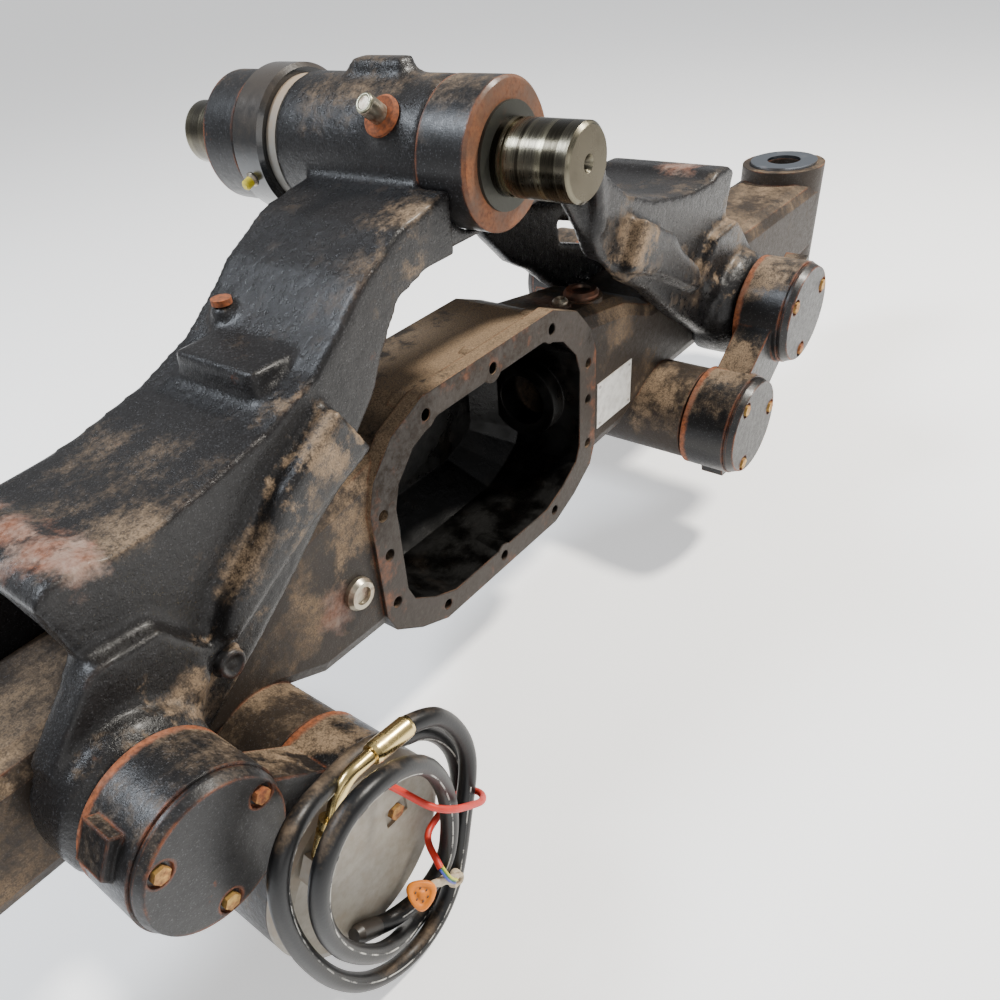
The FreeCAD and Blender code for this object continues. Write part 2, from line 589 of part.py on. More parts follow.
def radial(name, angle, at, start, end, radius, tip_radius):
    """A small round fitting standing out from the pin's boss on its left side."""
    outward = turn(V(0, -1, 0), 180 - angle) if float(angle) > 0 else turn(V(0, 1, 0), 180 + angle)
    body = new_body(name, turned_x(start, 180 - angle), at, D.pin_height + turned_z(start, angle),
                    outward)
    length, radius, tip = end - start, size(radius), size(tip_radius)
    revolve(body, [(0.0, 0.0), (0.0, radius), (length - 2, radius), (length, tip), (length, 0.0)],
            role="XY_Plane")
    return body


def fittings():
    """Grease nipple, its cap, and the port on the boss."""
    seat = D.boss_radius + 2
    radial("port_washer", D.port_angle, -D.port_at, seat, D.boss_radius + D.port_step,
           D.port_radius, D.port_radius - 2)
    radial("port_fitting", D.port_angle, -D.port_at, D.boss_radius + D.port_step,
           D.boss_radius + D.port_step + D.fitting_length, D.fitting_radius, D.fitting_radius - 3)
    seat = D.bearing_radius
    radial("grease_nipple", D.nipple_angle, D.nipple_at, seat, D.bearing_radius + 3,
           D.nipple_radius + 2, D.nipple_radius)
    radial("nipple_cap", D.nipple_angle, D.nipple_at, D.bearing_radius + 3,
           D.bearing_radius + 3 + D.nipple_length, D.nipple_radius, D.nipple_radius - 2)


def pins_and_washers():
    """Link pins, thrust washers and bushes at the eight pivots."""
    yoke_spot = (D.yoke_pivot_out, D.yoke_pivot_height)
    axle_spot = (D.axle_pivot_out, -D.axle_pivot_drop)
    tip = D.link_front - D.pin_end_gap
    for owner, (out, z), inner in (("yoke", yoke_spot, D.hollow_half + 4),
                                   ("axle", axle_spot, D.axle_pin_inner + 4)):
        pins, washers = [], []
        for side, hand in SIDES:
            for end, start, stop in (("front", -tip, -inner), ("rear", inner, tip)):
                pins.append(rod(f"{owner}_pin_{hand}_{end}", side * out, z, start, stop,
                                D.link_pin_radius))
            for end, start, stop in (("front", -D.washer_front, -D.leg_face),
                                     ("rear", D.leg_face, D.washer_front)):
                washers.append(ring(f"{owner}_washer_{hand}_{end}", side * out, z, start, stop,
                                    D.leg_face_radius, D.link_pin_radius))
        group(f"{owner}_link_pins", pins)
        group(f"{owner}_thrust_washers", washers)
    for side, hand in SIDES:
        bushes = []
        for owner, (out, z) in (("yoke", yoke_spot), ("axle", axle_spot)):
            loose = side > 0 and owner == "axle"
            play = D.open_play if loose else D.pin_play
            for end, start, stop in (("front", -D.link_front, -D.link_back),
                                     ("rear", D.link_back, D.link_front)):
                bushes.append(ring(f"{hand}_{owner}_bush_{end}", side * out, z, start, stop,
                                   D.bush_radius, D.link_pin_radius + play))
        group(f"{hand}_bushes", bushes)


def capsule(x1, z1, x2, z2, half):
    """The four corners of a straight web between two centres."""
    x1, z1, x2, z2, half = (size(value) for value in (x1, z1, x2, z2, half))
    dx, dz = x2 - x1, z2 - z1
    length = Size(math.hypot(dx.value, dz.value), f"sqrt({dx.text}^2 + {dz.text}^2)")
    ox, oz = -dz * half / length, dx * half / length
    return [(x1 + ox, z1 + oz), (x2 + ox, z2 + oz), (x2 - ox, z2 - oz), (x1 - ox, z1 - oz)]


def link(name, side, front):
    """A short cast link: two bosses on a narrower web, with cast lugs."""
    body = new_body(name)
    big = side < 0 and front < 0
    start, end = (-D.link_front, -D.link_back) if front < 0 else (D.link_back, D.link_front)
    x1, z1 = side * D.yoke_pivot_out, D.yoke_pivot_height
    x2, z2 = side * D.axle_pivot_out, -D.axle_pivot_drop
    web = capsule(x1, z1, x2, z2, D.web_half)
    pad_y(body, start + D.web_inset, end - D.web_inset, [web])
    pad_y(body, start, end, circles=[(x1, z1, D.link_boss_radius)])
    if big:
        pad_y(body, start, end, circles=[(-D.sensor_out, -D.sensor_drop, D.sensor_radius)])
    pad_y(body, start, end, circles=[(x2, z2, D.link_boss_radius)])
    lug = [(x1 + side * 40, z1 + 50), (x1 + side * 50, z1 + 56), (x1 + side * 66, z1 + 30),
           (x1 + side * 58, z1 + 18)]
    pad_y(body, start + D.web_inset * 2, end - D.web_inset * 2, [lug])
    if not big:
        foot = [(x2 - side * 24, z2 - 50), (x2 - side * 16, z2 - 74), (x2 + side * 12, z2 - 76),
                (x2 + side * 24, z2 - 52)]
        pad_y(body, start + D.web_inset * 2, end - D.web_inset * 2, [foot])
    cut_y(body, start - 1, end + 1, circles=[(x1, z1, D.bush_radius), (x2, z2, D.bush_radius)])
    return body


def cover(name, side, x, z, front, angle):
    """A bolted end cover with three seats for its bolts."""
    body = new_body(name, x, 0.0, z)
    near, far, rim = D.link_front, D.cover_front, D.cover_radius
    sign = 1 if front > 0 else -1
    revolve(body, [(sign * near, 0.0), (sign * near, rim), (sign * (near + 4), rim),
                   (sign * far, rim - D.cover_bevel), (sign * far, 0.0)])
    seats = [(turned_x(D.cover_bolt_circle, angle + 120 * k),
              turned_z(D.cover_bolt_circle, angle + 120 * k), D.cover_bolt_seat) for k in range(3)]
    start, end = (-far - 1, -far + D.cover_recess) if front < 0 else (far - D.cover_recess, far + 1)
    cut_y(body, start, end, circles=seats)
    return body


def hex_head(name, x, y, z, radius, height, front):
    """A six-sided bolt head standing on a face that looks along Y."""
    head = doc.addObject("Part::Prism", name)
    head.Polygon = 6
    radius, height = size(radius), size(height)
    head.Circumradius = radius.value
    head.Height = height.value
    bind(head, "Circumradius", radius)
    bind(head, "Height", height)
    return place(head, x, y, z, turn(V(1 if front < 0 else -1, 0, 0), 90.0))


def covers():
    """The seven plain covers and their bolts."""
    angles = {("left", "yoke"): 24.0, ("right", "yoke"): 30.0, ("right", "axle"): 8.0,
              ("left", "axle"): 8.0}
    for side, hand in SIDES:
        heads = []
        for owner, out, z in (("yoke", D.yoke_pivot_out, D.yoke_pivot_height),
                              ("axle", D.axle_pivot_out, -D.axle_pivot_drop)):
            for front, end in ((-1, "front"), (1, "rear")):
                if side < 0 and owner == "axle" and front < 0:
                    continue
                angle = angles[hand, owner] if front < 0 else 30.0
                cover(f"{hand}_{owner}_cover_{end}", side, side * out, z, front, angle)
                face = D.cover_front - D.cover_recess
                for k in range(3):
                    heads.append(hex_head(
                        f"{hand}_{owner}_{end}_bolt_{k + 1}",
                        side * out + turned_x(D.cover_bolt_circle, angle + 120 * k),
                        front * face, z + turned_z(D.cover_bolt_circle, angle + 120 * k),
                        D.cover_bolt_head, D.cover_head_height, front))
        if side < 0:
            heads.append(hex_head("sensor_bolt", -D.sensor_out + 40, -D.sensor_front + 3,
                                  -D.sensor_drop + 24, D.cover_bolt_head + 1,
                                  D.cover_head_height, -1))
        group(f"{hand}_cover_bolts", heads)
    body = new_body("sensor_cover", -D.sensor_out, 0.0, -D.sensor_drop)
    near, far, rim = D.link_front, D.sensor_front, D.sensor_radius
    revolve(body, [(-near, 0.0), (-near, rim), (-near - 5, rim), (-far + 4, rim - 4),
                   (-far, rim - 12), (-far, 0.0)])
    seat = [(27.0, 14.0), (53.0, 14.0), (53.0, 34.0), (27.0, 34.0)]
    cut_y(body, -far - 1, -far + 3, [seat])


def kingpin_parts():
    """The machined rings on top of the kingpin barrels."""
    rings = []
    for side, hand in SIDES:
        body = new_body(f"kingpin_ring_{hand}", side * D.kingpin_out, 0.0, D.barrel_half)
        pad_z(body, 0.0, D.kingpin_ring_thick, circles=[
            (0.0, 0.0, D.kingpin_ring_radius), (0.0, 0.0, D.kingpin_bore_radius)])
        rings.append(body)
    group("kingpin_rings", rings)


def plug(name, x, y, z, radius, height, rotation):
    """A round plug with a raised middle, standing on a face."""
    body = new_body(name, x, y, z, rotation)
    radius, height = size(radius), size(height)
    revolve(body, [(0.0, 0.0), (0.0, radius), (height * 0.5, radius),
                   (height, radius - 3), (height, radius * 0.55), (height * 0.6, radius * 0.5),
                   (height * 0.6, 0.0)], role="XY_Plane")
    return body


def housing_trim():
    """Plugs and the bare plate on the housing."""
    up = turn(V(0, -1, 0), 90.0)
    plug("fill_plug", D.fill_plug_out, -D.fill_plug_at, D.fill_seat, D.fill_plug_radius, 8.0, up)
    plug("breather_plug", D.breather_out, -D.breather_at, D.breather_seat, D.breather_radius, 7.0, up)
    toward = turn(V(0, 0, -1), 90.0)
    plug("level_plug", -D.level_plug_out, -D.arm_half_depth, -D.level_plug_drop,
         D.level_plug_radius, 9.0, toward)
    plate = new_body("nameplate", D.plate_out, 0.0, -D.plate_drop)
    pad_y(plate, -D.arm_half_depth - D.plate_thick, -D.arm_half_depth,
          [[(D.plate_width * -0.5, D.plate_height * -0.5), (D.plate_width * 0.5, D.plate_height * -0.5),
            (D.plate_width * 0.5, D.plate_height * 0.5), (D.plate_width * -0.5, D.plate_height * 0.5)]])
    cap = new_body("arm_plug", -D.arm_plug_out, D.arm_plug_at, D.arm_plug_seat)
    pad_z(cap, 0.0, 5.0, circles=[(0.0, 0.0, D.arm_plug_radius)])


def fitting(name, x, z, angle, y, profile):
    """A turned piece whose axis lies in a plane of constant Y, at an angle from +X."""
    angle = size(angle)
    axis = V(0, -1, 0) if float(angle) >= 0 else V(0, 1, 0)
    body = new_body(name, x, y, z, turn(axis, angle if float(angle) >= 0 else -angle))
    revolve(body, [(0.0, 0.0)] + profile + [(profile[-1][0], 0.0)], role="XY_Plane")
    return body


def tube(name, points, radius):
    """A cord's tube: straight runs joined by tangent arcs as large as the runs allow."""
    points = [V(*point) for point in points]
    edges, radii, start = [], [], points[0]
    for before, corner, after in zip(points, points[1:], points[2:]):
        into, out = (corner - before), (after - corner)
        half = into.getAngle(out) / 2
        reach = 0.45 * min(into.Length, out.Length)
        radii.append(round(reach / math.tan(half), 1))
        into.normalize()
        out.normalize()
        a, b = corner - into * reach, corner + out * reach
        bisector = (out - into).normalize()
        middle = corner + bisector * (radii[-1] / math.cos(half) - radii[-1])
        edges += [Part.LineSegment(start, a).toShape(), Part.Arc(a, middle, b).toShape()]
        start = b
    edges.append(Part.LineSegment(start, points[-1]).toShape())
    wire = Part.Wire(edges)
    section = Part.Wire(Part.makeCircle(float(radius), points[0], points[1] - points[0]))
    feature = doc.addObject("Part::Feature", name)
    feature.Label = name
    feature.Shape = wire.makePipeShell([section], True, False)
    place(feature)
    area = math.pi * float(radius) ** 2
    print(name, "length", round(wire.Length, 1), "radii", radii, "volume ratio",
          round(feature.Shape.Volume / (area * wire.Length), 4))
    return feature


def hose():
    """The coiled hose on the left link, with its elbow, and the sensor's cable."""
    face = -D.sensor_front
    lane = face - D.fitting_lift
    block = [(-438.4, -56.6), (-417.3, -68.0), (-427.7, -87.4), (-448.9, -76.0)]
    port = new_body("hose_port")
    pad_y(port, face - 16, face, [block])
    fitting("hose_nut", -427.85, -62.3, 61.5, lane,
            [(0.0, D.nut_radius), (22.0, D.nut_radius), (22.0, D.nut_radius - 2),
             (27.0, D.nut_radius - 2), (27.0, D.nut_radius + 0.0), (33.0, D.nut_radius)])
    y = float(lane)
    tube("hose_elbow", [(-412.1, y, -33.3), (-403.0, y, -16.5), (-389.0, y, -6.5),
                        (-364.0, y, -8.0)], D.elbow_radius)
    fitting("hose_ferrule", -364.0, -8.0, -7.0, lane,
            [(0.0, D.ferrule_radius - 1), (4.0, D.ferrule_radius), (39.0, D.ferrule_radius),
             (42.0, D.ferrule_radius - 1)])
    tube("hose_lead", [(-322.3, y, -13.1), (-298.5, y - 2.0, -17.5), (-284.5, y - 8.0, -42.0),
                       (-281.0, y - 15.0, -76.0)], D.hose_radius)
    coil = new_body("hose_coil", -D.coil_out, -D.coil_at, -D.coil_drop,
                    turn(V(1, 0, 0), D.coil_lean))
    rim = [(turned_x(D.coil_half_width, 22.5 * k), turned_z(D.coil_half_height, 22.5 * k))
           for k in range(16)]
    hole = [(turned_x(D.coil_inner_width, 22.5 * k), turned_z(D.coil_inner_height, 22.5 * k))
            for k in range(16)]
    pad_y(coil, D.coil_thick * -0.5, D.coil_thick * 0.5, [rim, hole])
    fitting("hose_end", -398.0, -208.0, 142.0, -212.2,
            [(0.0, D.hose_radius - 0.75), (1.5, D.hose_radius + 0.5),
             (26.0, D.hose_radius + 0.5), (32.0, D.hose_radius - 2.0)])
    fitting("cable_gland", -361.0, -44.0, -60.0, face - D.cable_radius - 1.5,
            [(0.0, D.cable_radius + 1.5), (14.0, D.cable_radius + 1.5)])
    y = float(face - D.cable_radius - 1.5)
    tube("sensor_cable", [(-354.0, y, -56.12), (-349.0, y - 3.0, -64.0), (-342.0, y - 14.5, -75.0),
                          (-335.0, y - 31.5, -86.0), (-321.0, y - 40.5, -97.0),
                          (-300.0, y - 41.5, -114.0), (-279.0, y - 39.5, -131.0),
                          (-265.5, y - 27.0, -140.0), (-268.0, y - 6.5, -149.0),
                          (-286.0, y - 2.0, -155.0), (-308.0, y - 2.0, -159.0),
                          (-329.0, y - 4.5, -158.0), (-337.0, y - 18.5, -156.0),
                          (-339.0, y - 32.5, -164.0), (-335.0, y - 37.5, -186.0),
                          (-326.0, y - 36.0, -205.0), (-318.5, y - 29.6, -211.2)], D.cable_radius)
    tie = new_body("cable_tie", -338.0, -237.3, -196.0, turn(V(0, 1, 0), 38.0))
    pad_x(tie, -27.0, 27.0, [[(-2.5, -5.0), (2.5, -5.0), (2.5, 5.0), (-2.5, 5.0)]])
    plug_body = new_body("cable_connector", -365.0, -239.8, -172.0)
    pad_y(plug_body, -8.0, 0.0, [[(-13.0, 8.0), (-9.0, 12.0), (9.0, 12.0), (13.0, 8.0),
                                  (4.0, -12.0), (-4.0, -12.0)]])


yoke()
axle_housing()
trunnion()
fittings()
pins_and_washers()
for hand_side, hand_name in SIDES:
    link(f"{hand_name}_front_link", hand_side, -1)
    link(f"{hand_name}_rear_link", hand_side, 1)
covers()
kingpin_parts()
housing_trim()
hose()

doc.recompute()
faults = [item.Name for item in doc.Objects if "Invalid" in item.State or "Error" in item.State]
if faults:
    raise RuntimeError("failed objects: " + ", ".join(faults))
kinds = ("PartDesign::Body", "Part::Compound", "Part::Feature")
nodes = [item for item in doc.Objects
         if item.TypeId in kinds and not item.Label.endswith("_piece")]
for node in nodes:
    shape = node.Shape
    if shape.isNull() or not shape.isValid():
        raise RuntimeError("bad shape: " + node.Label)
for node in nodes:
    node.Shape.exportStep(f"parts/{node.Label}.step")
    print(node.Label, len(node.Shape.Solids), round(node.Shape.Volume / 1000, 1))
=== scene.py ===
"""Looks of the axle beam: finishes on the solids, the coiled hose, the red cable and small trim."""
import math

import bmesh
import bpy
import numpy as np
from mathutils import Matrix, Vector


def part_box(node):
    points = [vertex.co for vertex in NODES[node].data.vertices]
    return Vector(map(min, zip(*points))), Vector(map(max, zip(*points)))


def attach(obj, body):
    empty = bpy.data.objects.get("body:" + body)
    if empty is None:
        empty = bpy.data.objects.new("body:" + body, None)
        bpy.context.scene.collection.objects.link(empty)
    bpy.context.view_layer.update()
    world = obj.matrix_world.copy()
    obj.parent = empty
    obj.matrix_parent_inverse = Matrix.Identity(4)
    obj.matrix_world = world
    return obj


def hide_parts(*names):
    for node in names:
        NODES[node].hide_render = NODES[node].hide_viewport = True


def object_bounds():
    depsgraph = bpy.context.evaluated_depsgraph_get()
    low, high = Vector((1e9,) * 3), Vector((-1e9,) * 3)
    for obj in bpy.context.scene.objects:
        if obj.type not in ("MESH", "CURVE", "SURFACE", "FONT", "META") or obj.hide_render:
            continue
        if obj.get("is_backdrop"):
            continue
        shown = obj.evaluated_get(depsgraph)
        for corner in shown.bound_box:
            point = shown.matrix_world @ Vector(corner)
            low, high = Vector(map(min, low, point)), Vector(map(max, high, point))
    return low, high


bl_info = {
    "name": "Axle beam looks",
    "version": (1, 0, 0),
    "blender": (4, 5, 0),
    "location": "View3D > Sidebar > Axle Beam",
    "description": "Dresses the packed axle beam with cast paint, rust, dust, hose, cable and trim",
    "category": "Object",
}

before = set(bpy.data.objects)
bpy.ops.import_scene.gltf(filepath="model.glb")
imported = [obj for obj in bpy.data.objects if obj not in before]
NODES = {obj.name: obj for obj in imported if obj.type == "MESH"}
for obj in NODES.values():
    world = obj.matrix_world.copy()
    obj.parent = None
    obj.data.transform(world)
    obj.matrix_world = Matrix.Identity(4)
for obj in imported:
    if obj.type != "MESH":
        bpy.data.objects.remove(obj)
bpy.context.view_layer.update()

# The camera, fitted to the photograph: lens and sensor in millimetres, shift in parts of the frame.
CAMERA_LENS, CAMERA_SENSOR = 31.11, 36.0
CAMERA_SHIFT = (0.0832, 0.0803)
CAMERA_PLACE = (-0.6266, -0.4160, 0.1864)
CAMERA_AIM = (0.5447, 0.5574, -0.6267)
CAMERA_ROLL = math.radians(-8.33)

# The hose's route in metres, from its crimped sleeve through its two and a half turns to its end cap.
HOSE_ROUTE = [
    (-0.3223, -0.0710, -0.3260), (-0.3010, -0.0740, -0.3322), (-0.2849, -0.0755, -0.3511),
    (-0.2728, -0.0775, -0.3765), (-0.2672, -0.0795, -0.4053), (-0.2714, -0.0815, -0.4305),
    (-0.2803, -0.0835, -0.4517), (-0.2904, -0.0855, -0.4759), (-0.3011, -0.0875, -0.5042),
    (-0.3146, -0.0875, -0.5403), (-0.3371, -0.0875, -0.5660), (-0.3665, -0.0875, -0.5772),
    (-0.4005, -0.0875, -0.5703), (-0.4347, -0.0875, -0.5432), (-0.4607, -0.0875, -0.4973),
    (-0.4770, -0.0875, -0.4409), (-0.4832, -0.0865, -0.3920), (-0.4816, -0.0855, -0.3515),
    (-0.4727, -0.0835, -0.3246), (-0.4559, -0.0795, -0.3102), (-0.4342, -0.0735, -0.3085),
    (-0.4101, -0.0655, -0.3181), (-0.3888, -0.0570, -0.3279), (-0.3660, -0.0530, -0.3329),
    (-0.3430, -0.0535, -0.3389), (-0.3200, -0.0575, -0.3529), (-0.2970, -0.0565, -0.3649),
    (-0.2760, -0.0575, -0.3909), (-0.2640, -0.0605, -0.4229), (-0.2640, -0.0635, -0.4579),
    (-0.2750, -0.0665, -0.4979), (-0.2900, -0.0685, -0.5349), (-0.3120, -0.0692, -0.5659),
    (-0.3380, -0.0694, -0.5735), (-0.3600, -0.0728, -0.5639), (-0.3800, -0.0825, -0.5459),
    (-0.4030, -0.0925, -0.5219), (-0.4249, -0.0965, -0.4996), (-0.4515, -0.1000, -0.4507),
    (-0.4632, -0.1015, -0.4067), (-0.4640, -0.1035, -0.3672), (-0.4566, -0.1045, -0.3377),
    (-0.4433, -0.1045, -0.3182), (-0.4250, -0.1035, -0.3058), (-0.4030, -0.1025, -0.3028),
    (-0.3785, -0.1005, -0.3092), (-0.3530, -0.0975, -0.3248), (-0.3302, -0.0945, -0.3504),
    (-0.3150, -0.0915, -0.3875), (-0.3092, -0.0905, -0.4250), (-0.3126, -0.0905, -0.4608),
    (-0.3204, -0.0885, -0.4952), (-0.3360, -0.0845, -0.5153), (-0.3545, -0.0790, -0.5284),
    (-0.3760, -0.0730, -0.5309), (-0.3910, -0.0705, -0.5264), (-0.4000, -0.0697, -0.5194),
]
# The red cable's route, from its gland to its stripped end.
CABLE_ROUTE = [
    (-0.3540, -0.0652, -0.3690), (-0.3490, -0.0682, -0.3769), (-0.3420, -0.0797, -0.3879),
    (-0.3350, -0.0967, -0.3989), (-0.3210, -0.1057, -0.4099), (-0.3000, -0.1067, -0.4269),
    (-0.2800, -0.1047, -0.4439), (-0.2685, -0.0922, -0.4529), (-0.2700, -0.0727, -0.4619),
    (-0.2860, -0.0672, -0.4679), (-0.3060, -0.0672, -0.4719), (-0.3200, -0.0690, -0.4740),
    (-0.3290, -0.0775, -0.4735), (-0.3345, -0.0890, -0.4750), (-0.3383, -0.0985, -0.4800),
]
# The bare cores, from the stripped end to the knot: their route, and each one's name, colour and
# shift to one side. Then the knot's middle and the tape, from the knot to the plug.
CORE_ROUTE = (
    (-0.3381, -0.0978, -0.4790), (-0.3372, -0.1020, -0.4890), (-0.3310, -0.1025, -0.5060),
    (-0.3240, -0.0995, -0.5180),
)
CORES = (
    ("core_yellow", (0.62, 0.62, 0.01), 0.0016), ("core_blue", (0.008, 0.03, 0.34), -0.0014),
    ("core_green", (0.02, 0.22, 0.03), 0.0002),
)
KNOT = (-0.3205, -0.0965, -0.5215)
TAPE_ROUTE = [
    (-0.3205, -0.0975, -0.5215), (-0.3290, -0.0985, -0.5095), (-0.3390, -0.0990, -0.4975),
    (-0.3500, -0.0988, -0.4895), (-0.3600, -0.0985, -0.4870),
]
TAPE_ACROSS = (0.62, 0.0, 0.78)

# The plug at the cable's end: its middle, the way it faces, and its sizes.
PLUG_CENTRE = (-0.3650, -0.0973, -0.4849)
PLUG_FACES = (-0.36, -0.62, 0.70)
PLUG_RADIUS = 0.0124
SOCKET_CIRCLE, SOCKET_FACE, SOCKET_RADIUS, SOCKET_RISE = 0.0056, 0.0070, 0.0012, 0.0005

# The hose's pale line: the coil's middle, which it leans to, half its angle round the hose in radians,
# how far it stands out and how deep it goes, and the part of the hose that has it.
COIL_CENTRE = (-0.378, -0.09, -0.434)
LINE_HALF, LINE_OUT, LINE_SUNK = 0.075, 0.00012, 0.0004
LINE_PART = slice(40, -12)

# The middle of the port fitting's end and the way it points, and the middle of the arm's lug.
PORT_END = (-0.0674, 0.1355, 0.0508)
PORT_LINE = (-0.7986, 0.0, 0.6018)
LUG_CENTRE = (-0.3890, 0.0515, -0.2668)

# The plate's drive rivets: how far in from its edges, their radius and their rise.
RIVET_INSET, RIVET_RADIUS, RIVET_RISE = 0.0055, 0.0021, 0.0013

# Planes and sizes of the solids that the finishes follow.
MIDDLE_PLANE = 0.1425  # halfway between the front and the rear links
RUBBED_AT = 0.1281  # from the middle plane to the links' faces on the washers
FLANGE_PLANE = 0.075  # the flange's front face
FLANGE_LEVEL = -0.3129  # the height of the flange's middle
OPENING_HALF = (0.168, 0.120)  # half the opening's width and height, with the rim's wear
HOLLOW_BACK = (0.206, 0.212)  # where the hollow's oily black and painted shade fade out
PIN_BANDS = ((0.0400, 0.0030), (0.0166, 0.0012), (-0.0123, 0.0060))  # middle and half width

# Noise in cells a metre: patches, stains, lumps of the mould, grit and the casting's grain.
BROAD, MIDDLE, LUMPS, FINE, GRAIN = 6.5, 27.0, 75.0, 190.0, 620.0
DUST_STARTS, DUST_FULL = 1.36, 2.02
WORN_EDGE, SOFT_EDGE = 0.004, 0.0025

# Colours that the finishes share out over a surface.
FADED_PAINT = (0.024, 0.022, 0.021, 1)
PALE_GRAIN = (0.095, 0.095, 0.102, 1)
DAMP_DUST = (0.10, 0.07, 0.045, 1)
DARK_RUST = (0.13, 0.045, 0.022, 1)
DEEP_RUST = (0.10, 0.037, 0.018, 1)
BRIGHT_RUST = (0.20, 0.070, 0.030, 1)
# Near-black colours of the housing's hollow: an oily film, made darker still as painted shade of the
# enclosed hollow.
BLACK_OIL_AND_SHADE = (0.0008, 0.0007, 0.0006, 1)
OIL_FILM_AND_SHADE = (0.008, 0.006, 0.0045, 1)
BLACK_RUBBER = (0.006, 0.006, 0.0065, 1)

# Finishes of metal pieces: the nodes, the finish's name, its metal, rust, roughness and depth of grain.
METAL_FINISHES = (
    (("yoke_thrust_washers", "axle_thrust_washers", "rear_shim", "port_washer", "arm_plug"),
     "thrust washer", (0.16, 0.10, 0.07, 1), 0.80, 0.50, 0.0003),
    (("front_seal_ring",), "seal iron", (0.060, 0.060, 0.052, 1), -0.05, 0.55, 0.0006),
    (("fill_plug",), "machined ring", (0.085, 0.065, 0.052, 1), 0.34, 0.42, 0.0003),
    (("kingpin_rings",), "ring steel", (0.26, 0.29, 0.33, 1), 0.02, 0.30, 0.0003),
    (("yoke_link_pins", "axle_link_pins"), "link pin steel", (0.22, 0.20, 0.17, 1), 0.3, 0.35, 0.0003),
    (("left_cover_bolts", "right_cover_bolts"), "cover bolt", (0.62, 0.42, 0.12, 1), 0.50, 0.38, 0.0003),
    (("hose_nut", "hose_elbow", "hose_ferrule"),
     "yellow zinc", (0.66, 0.50, 0.22, 1), 0.05, 0.26, 0.0001),
    (("port_fitting", "grease_nipple", "breather_plug", "level_plug"),
     "dull zinc", (0.36, 0.33, 0.26, 1), 0.26, 0.34, 0.0002),
    (("left_bushes", "right_bushes"), "bush bronze", (0.42, 0.27, 0.12, 1), 0.15, 0.35, 0.0003),
)

# The lamps: name, place, size, power and tint.
LAMPS = (
    ("key", (1.5, -0.9, 2.1), 0.40, 170.0, (1.0, 0.95, 0.86)),
    ("sky", (-1.6, 1.6, 2.4), 1.1, 130.0, (0.84, 0.91, 1.0)),
    ("fill", (-2.0, -2.2, 1.0), 2.2, 26.0, (1.0, 0.98, 0.95)),
)
LAMPS_AIM = (-0.1, 0.05, -0.30)
ROOM_TINT, ROOM_LIGHT = (0.95, 0.97, 1.0, 1), 0.42
FLOOR_GLOW, FLOOR_GAP = 0.56, 0.003


class BeamSizes(bpy.types.PropertyGroup):
    """Sizes of the pieces that the scene adds."""
    hose_diameter: bpy.props.FloatProperty(
        name="Hose diameter", description="Outer diameter of the rubber hose",
        default=0.0165, min=0.004, max=0.05, subtype="DISTANCE")
    hose_length: bpy.props.FloatProperty(
        name="Hose length", description="Length of the hose from sleeve to end cap",
        default=1.75, min=0.3, max=6.0, subtype="DISTANCE")
    cable_diameter: bpy.props.FloatProperty(
        name="Cable diameter", description="Outer diameter of the red sensor cable",
        default=0.0064, min=0.002, max=0.02, subtype="DISTANCE")
    cable_length: bpy.props.FloatProperty(
        name="Cable length", description="Length of the red cable from its gland to its stripped end",
        default=0.246, min=0.05, max=3.0, subtype="DISTANCE")
    wire_radius: bpy.props.FloatProperty(
        name="Wire radius", description="Radius of a single core of the cable",
        default=0.0011, min=0.0004, max=0.004, subtype="DISTANCE")
    tape_width: bpy.props.FloatProperty(
        name="Tape width", description="Width of the cloth tape on the connector's lead",
        default=0.0095, min=0.003, max=0.03, subtype="DISTANCE")
    floor_half: bpy.props.FloatProperty(
        name="Floor half width", description="Half the side of the pale floor",
        default=30.0, min=2.0, max=60.0, subtype="DISTANCE")


class BeamColours(bpy.types.PropertyGroup):
    """Base colours of the finishes."""
    paint: bpy.props.FloatVectorProperty(
        name="Saddle paint", description="Black paint on the saddle casting", size=3,
        default=(0.0075, 0.0070, 0.0072), min=0.0, max=1.0, subtype="COLOR")
    housing_paint: bpy.props.FloatVectorProperty(
        name="Housing paint", description="Weathered paint on the axle housing", size=3,
        default=(0.028, 0.021, 0.016), min=0.0, max=1.0, subtype="COLOR")
    dust: bpy.props.FloatVectorProperty(
        name="Dust", description="Dry tan dust on upper faces", size=3,
        default=(0.36, 0.25, 0.155), min=0.0, max=1.0, subtype="COLOR")
    rust: bpy.props.FloatVectorProperty(
        name="Rust", description="Orange rust on machined faces and edges", size=3,
        default=(0.30, 0.085, 0.028), min=0.0, max=1.0, subtype="COLOR")
    steel: bpy.props.FloatVectorProperty(
        name="Pin steel", description="Ground steel of the trunnion pin", size=3,
        default=(0.17, 0.155, 0.110), min=0.0, max=1.0, subtype="COLOR")


def sizes():
    """The sizes that a user may change."""
    return bpy.context.scene.axle_beam_sizes


def colour(name):
    """One of the finishes' base colours, with its alpha."""
    return tuple(getattr(bpy.context.scene.axle_beam_colours, name)) + (1.0,)


def feed(tree, socket, value):
    """Links a socket to another one, or sets it to a plain value."""
    if isinstance(value, bpy.types.NodeSocket):
        tree.links.new(value, socket)
    else:
        socket.default_value = value


